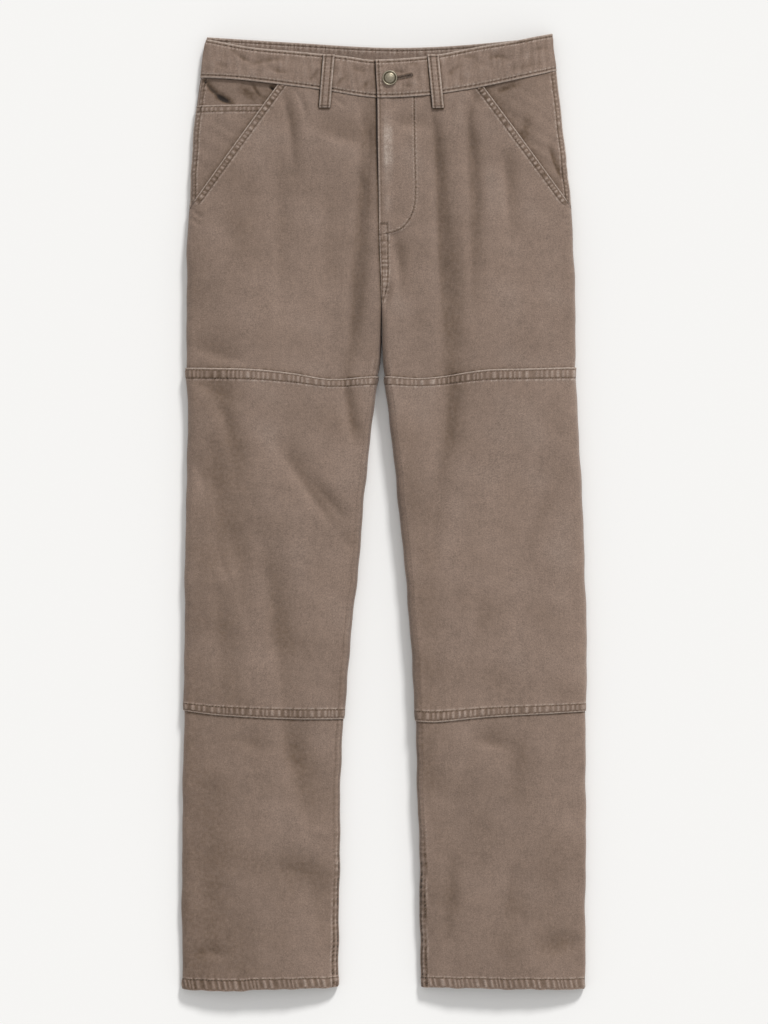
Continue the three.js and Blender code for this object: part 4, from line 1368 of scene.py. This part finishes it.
def weave_height(nodes):
    """Threads that pass over and under each other, at their real pitch."""
    place = nodes.add("ShaderNodeSeparateXYZ")
    nodes.put(nodes.place, place.inputs[0])
    turns = 2 * math.pi / (WEAVE_PITCH * MM)
    along = nodes.math("MULTIPLY", nodes.math("ADD", place.outputs["Y"], place.outputs["Z"]), turns)
    across = nodes.math("MULTIPLY", place.outputs["X"], turns)
    warp = nodes.math("SINE", nodes.math("ADD", across, nodes.math("MULTIPLY", along, 0.5)))
    weft = nodes.math("SINE", nodes.math("SUBTRACT", nodes.math("MULTIPLY", across, 0.5), along))
    return nodes.math("MULTIPLY", warp, weft)


def canvas_material():
    """Garment-dyed cotton canvas: grain, slubs and mottled dye, pale where rubbed, dark in the grooves, and
    darker to near black where shade and shadows are painted.
    """
    material = bpy.data.materials.new("canvas")
    nodes = Nodes(material)
    grain = nodes.noise(1050, 1.0, 0.6)
    flecks = nodes.noise(520, 1.0, 0.6)
    slubs = nodes.noise(330, 2.0, 0.6, (1.6, 0.16, 1))
    picks = nodes.noise(330, 2.0, 0.6, (0.16, 1.6, 1))
    mottle = nodes.noise(85, 3.0, 0.55)
    broad = nodes.noise(11, 2.0, 0.5)
    light = nodes.span(grain, 0.3, 0.7, -0.2, 0.2)
    for value, amount in ((flecks, 0.1), (slubs, 0.04), (picks, 0.02), (mottle, 0.07), (broad, 0.06)):
        light = nodes.math("ADD", light, nodes.span(value, 0.3, 0.7, -amount, amount))
    # The attribute carries rubbed wear and dark grooves, and also painted shade in folds and painted shadows
    # beside laps, loops and edges
    worn_and_shaded = nodes.add("ShaderNodeAttribute", attribute_name="wear_and_shade").outputs["Fac"]
    patchy = nodes.span(nodes.noise(260, 2.0, 0.6), 0.3, 0.7, 0.6, 1.35)
    pale = nodes.math("MULTIPLY", nodes.span(worn_and_shaded, 0, 1.1, 0, 0.75), patchy)
    dark = nodes.math("MULTIPLY", nodes.span(worn_and_shaded, 0, -1.1, 0, 0.95), patchy)
    colour = nodes.blend(pale, CANVAS, CANVAS_PALE)
    colour = nodes.blend(dark, colour, CANVAS_DARK)
    colour = nodes.blend(nodes.span(worn_and_shaded, -1.1, -2.1, 0, 1), colour, CANVAS_DEEP)
    colour = nodes.brighten(colour, nodes.math("ADD", light, 1.0))
    nodes.put(colour, nodes.shader.inputs["Base Color"])
    nodes.put(nodes.span(grain, 0.2, 0.8, 0.82, 0.98), nodes.shader.inputs["Roughness"])
    soft = nodes.bump(nodes.noise(420, 2.0, 0.6), 0.35, 0.0006)
    nodes.put(nodes.bump(weave_height(nodes), 0.5, WEAVE_BUMP * MM, soft), nodes.shader.inputs["Normal"])
    nodes.shader.inputs["Specular IOR Level"].default_value = 0.25
    nodes.shader.inputs["Sheen Weight"].default_value = 0.12
    nodes.shader.inputs["Sheen Roughness"].default_value = 0.5
    return material


def thread_material():
    material = bpy.data.materials.new("thread")
    nodes = Nodes(material)
    light = nodes.span(nodes.noise(500, 1.0), 0.3, 0.7, 0.72, 1.22)
    nodes.put(nodes.brighten(THREAD, light), nodes.shader.inputs["Base Color"])
    nodes.put(nodes.span(nodes.noise(1500, 1.0), 0.3, 0.7, 0.62, 0.82), nodes.shader.inputs["Roughness"])
    nodes.put(nodes.bump(nodes.noise(2600, 1.0), 0.4, 0.0001), nodes.shader.inputs["Normal"])
    return material


def metal_material():
    """Antiqued brass, darker in its dish and rubbed bright on its rim."""
    material = bpy.data.materials.new("antique_brass")
    nodes = Nodes(material)
    worn_and_shaded = nodes.add("ShaderNodeAttribute", attribute_name="wear_and_shade").outputs["Fac"]
    stain = nodes.span(nodes.noise(420, 3.0, 0.6), 0.35, 0.65, -0.2, 0.2)
    bright = nodes.span(nodes.math("ADD", worn_and_shaded, stain), -1, 1, 0, 1)
    nodes.put(nodes.blend(bright, METAL_DARK, METAL_BRIGHT), nodes.shader.inputs["Base Color"])
    nodes.put(nodes.span(nodes.noise(900, 2.0), 0.3, 0.7, 0.4, 0.55), nodes.shader.inputs["Roughness"])
    nodes.put(nodes.bump(nodes.noise(1300, 2.0), 0.25, 0.00012), nodes.shader.inputs["Normal"])
    nodes.shader.inputs["Metallic"].default_value = 0.85
    return material


canvas = canvas_material()
thread = thread_material()
metal = metal_material()


def dress(piece, material, slot, *nodes):
    """Gives a piece its material, and lets it stand for CAD nodes. Its slot argument is not used."""
    piece.data.materials.append(material)
    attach(piece, "root")
    if nodes:
        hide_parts(*nodes)
    return piece


# The pieces. Each is (piece, its face, its layers), so that its stitches can follow it
made = {}
FACES = {
    ("front", "right"): Face("front", "right", fly_lap),
    ("front", "left"): Face("front", "left"),
    ("back", "right"): Face("back", "right"),
    ("back", "left"): Face("back", "left"),
    ("band", "right"): Face("front", "right", steady_lap(BAND_LAP)),
    ("band", "left"): Face("front", "left"),
    ("back_band", "right"): Face("back", "right", steady_lap(SEAM_GAP)),
    ("back_band", "left"): Face("back", "left"),
}


def make(node, face, rows, layers, every=2):
    piece = new_mesh(f"{node}_cloth", *shell_parts(face, rows, layers, every))
    made[node] = (dress(piece, canvas, "canvas", node), face, layers)


def leg_rows():
    fine = shares_over(LEG_AROUND, SEWN_STEP)
    plain = shares_over(LEG_AROUND, PLAIN_STEP, 1.0)
    coarse = shares_over(LEG_AROUND, HIDDEN_STEP)
    knee_low, knee_high = KNEE_BOTTOM_Y + KNEE_OVERLAP, KNEE_TOP_Y - KNEE_OVERLAP
    rows = rows_in(
        ([LOW_Y + step for step in EDGE_STEPS[:-1]], fine),
        (LOW_Y + through((EDGE_STEPS[-1], HEM_ROW, HEM_ROW + 1.4, HEM_FINE), 1.1), fine),
        (span(LOW_Y + HEM_FINE, KNEE_BOTTOM_Y - KNEE_FINE, PLAIN_STEP), plain),
        (through((KNEE_BOTTOM_Y - KNEE_FINE, KNEE_BOTTOM_Y, knee_low), SEWN_STEP), plain),
        (span(knee_low, knee_high, HIDDEN_STEP), coarse),
        (through((knee_high, KNEE_TOP_Y, KNEE_TOP_Y + KNEE_FINE), SEWN_STEP), plain),
        (span(KNEE_TOP_Y + KNEE_FINE, FINE_FROM_Y, PLAIN_STEP), plain),
        (span(FINE_FROM_Y, HIGH_Y, 1.35), shares_over(LEG_AROUND, 1.4, 1.0)),
    )
    return rows + [(float(HIGH_Y), rows[-1][1])]


def knee_rows():
    fine = shares_over(LEG_AROUND, SEWN_STEP)
    plain = shares_over(LEG_AROUND, PLAIN_STEP, 1.0)
    sewn = [*EDGE_STEPS[:-1], *through((EDGE_STEPS[-1], *EDGE_ROWS, EDGE_ROWS[-1] + 1.4, 20), 1.0)]
    return rows_in(
        ([KNEE_BOTTOM_Y + step for step in sewn], fine),
        (span(KNEE_BOTTOM_Y + 20, KNEE_TOP_Y - 20, PLAIN_STEP), plain),
        ([KNEE_TOP_Y - step for step in (20, *sewn[::-1])], fine),
    )


def back_rows():
    plain = shares_over(LEG_AROUND, BACK_STEP)
    fine = shares_over(LEG_AROUND, 1.6)
    rows = rows_in(
        ([LOW_Y + step for step in EDGE_STEPS[:-1]], fine),
        (span(LOW_Y + EDGE_STEPS[-1], LOW_Y + HEM_FINE, 1.5), fine),
        (span(LOW_Y + HEM_FINE, HIGH_Y, BACK_STEP), plain),
    )
    return rows + [(float(HIGH_Y), plain)]


def pocket_rows(top):
    shares = np.concatenate([shares_over(MOUTH_WIDE, 1.5) - 1, [MOUTH_EXTRA / 3, MOUTH_EXTRA * 2 / 3]])
    rows = [*span(POCKET_LOW_Y, top - 16, 1.6), *span(top - 16, top, 1.1), top - 0.45, top - 0.12, top]
    return rows_in((rows, shares[: len(shares) - 1 + len(shares) % 2]))


def band_rows(long, step):
    high, low = (
        [*EDGE_STEPS[:-1], *through((EDGE_STEPS[-1], row, row + 1.5, BAND_TALL / 2), 1.0)]
        for row in BAND_ROWS
    )
    ups = np.array([*low, BAND_TALL / 2, *(BAND_TALL - np.array(high[::-1]))]) / BAND_TALL
    return rows_in((ups, shares_over(long, step)))


for leg in LEGS:
    front, back = FACES["front", leg], FACES["back", leg]
    make(f"back_{leg}", back, back_rows(), back_layers)
    make(f"front_{leg}", front, leg_rows(), front_layers)
    make(f"knee_panel_{leg}", front, knee_rows(), knee_layers)
    lower = THIN_CLOTH + SEAM_GAP if leg == "right" else 0
    facing_layers = pocket_layers(lower, seed_for(leg, 1000), False)
    make(f"pocket_facing_{leg}", front, pocket_rows(HIGH_Y), facing_layers)
    make(f"waistband_{leg}", FACES["band", leg], band_rows(BAND_LONG["front"], SEWN_STEP), front_band_layers)
make("coin_pocket", FACES["front", "right"], pocket_rows(COIN_POCKET_TOP_Y), pocket_layers(0, 1200, True))


def back_band():
    """The back of the waistband: two halves that meet in its middle, joined into one mesh."""
    rows = band_rows(BAND_LONG["back"], 1.5)
    right, left = (
        shell_parts(FACES["back_band", leg], rows, back_band_layers(leg), 1) for leg in LEGS
    )
    quads, triangles = (np.concatenate([right[k], left[k][:, ::-1] + len(right[0])]) for k in (1, 2))
    points, wear_and_shade = (np.concatenate([right[k], left[k]]) for k in (0, 3))
    return new_mesh("waistband_back_cloth", points, quads, triangles, wear_and_shade)


back_piece = dress(back_band(), canvas, "canvas", "waistband_back")
made["waistband_back"] = (back_piece, FACES["back_band", "right"], back_band_layers("right"))

for number, (node, (side, leg, top, low)) in enumerate(LOOPS.items()):
    face = FACES["band" if side == "front" else "back", leg]
    ups = steps_over(LOOP_LONG, 1.1, 0.8, 5) / LOOP_LONG
    rows = rows_in((ups, shares_over(LOOP_WIDE, 0.8)))
    make(node, face, rows, loop_layers(side, top, low, 1300 + 10 * number), 1)


# The sewing that shows on each piece
def share_in(face, row, from_outer):
    """The share of a front's row that lies so far in from its outer edge, along the cloth."""
    share = np.full(row.shape, 0.5)
    for _ in range(3):
        _, y, start, _ = place_on_front(face, share, row)
        share = from_outer / ((1 - start) * face.total(y))
    return share


def share_of_path(face, path):
    """The shares and rows of places on a front, between the bends at the knee and the waist."""
    x, y = path[:, 0], path[:, 1]
    at = face.share_of(face.across_at(x, y), y)
    start = face.share_of(face.across_at(slash_x(face.leg, y), y), y)
    start = np.where(y > MOUTH_LOW_Y, start, 0)
    return (at - start) / (1 - start), y


def share_at_run(face, y, run):
    """The share of a front's row that lies so far in from its inner edge, as seen from above."""
    outer_x, inner_x, _ = face.section(y)
    return share_of_path(face, np.stack([inner_x + np.sign(outer_x - inner_x) * run, y], -1))[0]


def evenly(low, high, count=260):
    return np.linspace(low, high, count)


def on(node, share, row, **sizes):
    _, face, layers = made[node]
    share, row = np.broadcast_arrays(np.asarray(share, float), np.asarray(row, float))
    return stitch_row(face, layers, share, row, **sizes)


def tack_on(node, share, row, wide):
    _, face, layers = made[node]
    return satin(face, layers, share, row, wide)


def front_sewing(leg):
    node = f"front_{leg}"
    face = FACES["front", leg]
    across = evenly(0.012, 0.988)
    rows = [on(node, across, LOW_Y + HEM_ROW)]
    for distance in POCKET_ROWS:
        up = evenly(MOUTH_LOW_Y + 4, HIGH_Y - 1)
        rows.append(on(node, share_in(face, up, distance / SLASH_LEAN), up))
    for distance in FELL_ROWS:
        for low, high in ((LOW_Y + 2, KNEE_BOTTOM_Y - 1), (KNEE_TOP_Y + 1, CROTCH_Y - 4)):
            up = evenly(low, high)
            rows.append(on(node, share_at_run(face, up, distance), up))
    tack = np.array([SLASH[leg][1]]) + np.array([[1, 0], [7.5, 9]]) * (1 if leg == "right" else [-1, 1])
    rows.append(tack_on(node, *share_of_path(face, np.linspace(*tack, 20)), 2.2))
    if leg == "left":
        for path in (fly_path, *crotch_paths):
            rows.append(on(node, *share_of_path(face, path), pitch=2.9, long=2.2))
        for ends in FLY_TACKS:
            rows.append(tack_on(node, *share_of_path(face, np.linspace(*ends, 20)), 2.2))
    return sewing(f"stitches_{node}", rows)


def knee_sewing(leg):
    node = f"knee_panel_{leg}"
    across = evenly(0.012, 0.988)
    rows = [on(node, across, KNEE_TOP_Y - distance) for distance in EDGE_ROWS]
    rows += [on(node, across, KNEE_BOTTOM_Y + distance) for distance in EDGE_ROWS]
    up = evenly(KNEE_BOTTOM_Y + 12, KNEE_TOP_Y - 12)
    rows += [on(node, share_at_run(FACES["front", leg], up, d), up) for d in FELL_ROWS]
    return sewing(f"stitches_{node}", rows)


def mouth_share(face, row, distance):
    """The negative share of a row in a pocket's mouth that lies so far in from the outseam."""
    _, y, start, _ = place_on_front(face, np.full(row.shape, -0.9), row)
    outer_x, inner_x, _ = face.section(y)
    at = face.share_of(face.across_at(outer_x + np.sign(inner_x - outer_x) * distance, y), y)
    return at / start - 1


def pocket_sewing(node, leg, low, high):
    face = FACES["front", leg]
    rows = []
    for distance in SIDE_ROWS:
        up = evenly(low, high)
        share = mouth_share(face, up, distance)
        rows.append(on(node, share[share < -0.03], up[share < -0.03]))
    if node == "coin_pocket":
        rows += [on(node, evenly(-0.9, -0.02), COIN_POCKET_TOP_Y - distance) for distance in POCKET_ROWS]
    return sewing(f"stitches_{node}", rows)


def back_sewing(leg):
    node = f"back_{leg}"
    face = FACES["back", leg]
    rows = [on(node, evenly(0.012, 0.988), LOW_Y + HEM_ROW, dip=0.15)]
    up = evenly(LOW_Y + 2, HIGH_Y - 3)
    rows.append(on(node, 1 - BACK_SEAM_ROW / face.total(up), up, dip=0.15))
    return sewing(f"stitches_{node}", rows)


def band_sewing(face, layers, low_line, high_line):
    share = evenly(0.01, 0.99)
    x = band_place(face, share, 0.5, low_line, high_line)[1]
    high, low = (row / (high_line(x) - low_line(x)) for row in BAND_ROWS)
    return [stitch_row(face, layers, share, v) for v in (1 - high, low)]


def inside_of(layers):
    """The same layers seen from inside the garment."""

    def inner(face, share, row):
        across, y, _, inn, _, _ = layers(face, share, row)
        return across, y, inn, inn, 0, 0

    return inner


def loop_sewing(node):
    up = evenly(0.03, 0.97, 60)
    share = LOOP_ROW / LOOP_WIDE
    rows = [on(node, share, up, pitch=2.9, long=2.2), on(node, 1 - share, up, pitch=2.9, long=2.2)]
    for v in (0.035, 0.965):
        rows.append(tack_on(node, evenly(0.12, 0.88, 20), np.full(20, v), 1.8))
    return sewing(f"stitches_{node}", rows)


def buttonhole():
    """Stitches side by side around the slit, and a bar across its end."""
    node = "waistband_left"
    _, face, layers = made[node]
    rows = []
    (from_x, from_y), (to_x, to_y) = BUTTON_HOLE
    sides = [((from_x, from_y + off), (to_x, to_y + off)) for off in (-1.6, 1.6)]
    for start, end in (*sides, ((to_x + 1, to_y - 2.4), (to_x + 1, to_y + 2.4))):
        x, y = np.linspace(start, end, 40).T
        low, high = waist_seam(x), band_top(x)
        share = face.share_of(face.across_at(x, y), y)
        rows.append(satin(face, layers, share, (y - low) / (high - low), 2.4, 0.8))
    return sewing("stitches_buttonhole", rows)


sewn = {}
for leg in LEGS:
    sewn[f"front_{leg}"] = [front_sewing(leg)]
    sewn[f"knee_panel_{leg}"] = [knee_sewing(leg)]
    sewn[f"back_{leg}"] = [back_sewing(leg)]
    low = COIN_POCKET_TOP_Y + 2 if leg == "right" else POCKET_LOW_Y + 3
    sewn[f"pocket_facing_{leg}"] = [pocket_sewing(f"pocket_facing_{leg}", leg, low, HIGH_Y - 2)]
    band = band_sewing(FACES["band", leg], front_band_layers, waist_seam, band_top)
    if leg == "left":
        v = evenly(0.05, 0.95, 80)
        band.append(on("waistband_left", 1 - BAND_END_ROW / FACES["band", "left"].total(HIGH_Y), v))
    sewn[f"waistband_{leg}"] = [sewing(f"stitches_waistband_{leg}", band)]
sewn["coin_pocket"] = [pocket_sewing("coin_pocket", "right", POCKET_LOW_Y + 3, COIN_POCKET_TOP_Y - 3)]
sewn["waistband_left"].append(buttonhole())
back_rows_sewn = []
for leg in LEGS:
    for layers in (back_band_layers(leg), inside_of(back_band_layers(leg))):
        back_rows_sewn += band_sewing(FACES["back_band", leg], layers, back_waist_seam, back_band_top)
sewn["waistband_back"] = [sewing("stitches_waistband_back", back_rows_sewn)]
for node in LOOPS:
    sewn[node] = [loop_sewing(node)]
for pieces in sewn.values():
    for piece in pieces:
        dress(piece, thread, "canvas")


# The button
def lathe(name, profile, sides, origin):
    """A closed form turned about a vertical axis, from rows of radius, height and wear that end on it."""
    angles = np.arange(sides) * 2 * np.pi / sides
    points = [(0, 0, profile[0][1])]
    for radius, height, _ in profile[1:-1]:
        points += [(radius * math.cos(a), radius * math.sin(a), height) for a in angles]
    points.append((0, 0, profile[-1][1]))
    wear_and_shade = np.array([row[2] for row in profile])
    values = np.concatenate([wear_and_shade[:1], np.repeat(wear_and_shade[1:-1], sides), wear_and_shade[-1:]])
    return new_mesh(name, np.array(points) + origin, *turned_faces(len(profile) - 2, sides), values)


# Its profile, as rows of radius, height and wear
BUTTON_PROFILE = [
    (0, 0, -1), (3.4, 0, -1), (3.4, 1.0, -1), (6.6, 1.0, -0.8), (8.0, 1.25, -0.5), (8.45, 1.7, -0.2),
    (8.5, 2.1, 0.1), (8.3, 2.5, 0.45), (7.9, 2.7, 0.6), (7.45, 2.6, 0.1), (7.0, 2.2, -0.9), (6.6, 2.0, -1.2),
    (6.2, 2.2, -0.9), (5.7, 2.7, -0.2), (5.0, 3.2, 0.2), (4.2, 3.55, 0.3), (3.9, 3.5, -0.3), (3.6, 3.65, 0.2),
    (2.4, 4.0, 0.35), (1.2, 4.2, 0.45), (0, 4.25, 0.5),
]
button_face = FACES["band", "left"]
button_across = button_face.across_at(np.array([BUTTON_X]), np.array([BUTTON_Y]))
button_seat = button_face.point(button_across, np.array([BUTTON_Y]), folded=False)[0, 2]
button_base = np.array([BUTTON_X, BUTTON_Y, button_seat + BAND_PROUD + BAND_RAISE + SEAM_GAP])
button = lathe("button_metal_cap", BUTTON_PROFILE, BUTTON_SIDES, button_base)
dress(button, metal, "button_metal", "button")

# Stage, light and camera. The light comes from the top right, as wide as a large softbox
FLOOR_REACH = 6
WORLD_LIGHT = 0.62
KEY_LIGHT = 2.66
KEY_SPREAD_DEG = 10
KEY_FROM = Vector((0.68, 1.7, 1.0))
VIEW_HIGH_MM = 1177.6
LENS = 100
SENSOR = 36
CLOTH_TOP_MM = 18
AIM = (-0.29, 1.73)

floor_mesh = bpy.data.meshes.new("floor")
corners = [(-1, -1), (1, -1), (1, 1), (-1, 1)]
floor_mesh.from_pydata([(x * FLOOR_REACH, y * FLOOR_REACH, 0) for x, y in corners], [], [(0, 1, 2, 3)])
floor_material = bpy.data.materials.new("floor")
floor_material.use_nodes = True
floor_shader = floor_material.node_tree.nodes["Principled BSDF"]
floor_shader.inputs["Base Color"].default_value = (*FLOOR_COLOUR, 1)
floor_shader.inputs["Roughness"].default_value = 1.0
floor_shader.inputs["Specular IOR Level"].default_value = 0.0
floor_mesh.materials.append(floor_material)
floor = put_in_scene("floor", floor_mesh)

world = bpy.data.worlds.new("world")
bpy.context.scene.world = world
world.use_nodes = True
world.node_tree.nodes["Background"].inputs["Color"].default_value = (1, 1, 1, 1)
world.node_tree.nodes["Background"].inputs["Strength"].default_value = WORLD_LIGHT

key_data = bpy.data.lights.new("key", "SUN")
key_data.energy = KEY_LIGHT
key_data.angle = math.radians(KEY_SPREAD_DEG)
key = put_in_scene("key", key_data)
key.rotation_euler = KEY_FROM.to_track_quat("Z", "Y").to_euler()

camera_data = bpy.data.cameras.new("camera")
camera_data.lens = LENS
camera_data.sensor_width = SENSOR
camera_data.clip_end = 50
camera = put_in_scene("camera", camera_data)
camera.location = (AIM[0] * MM, AIM[1] * MM, (VIEW_HIGH_MM * LENS / SENSOR + CLOTH_TOP_MM) * MM)
bpy.context.scene.camera = camera
bpy.context.scene.view_settings.view_transform = "Standard"
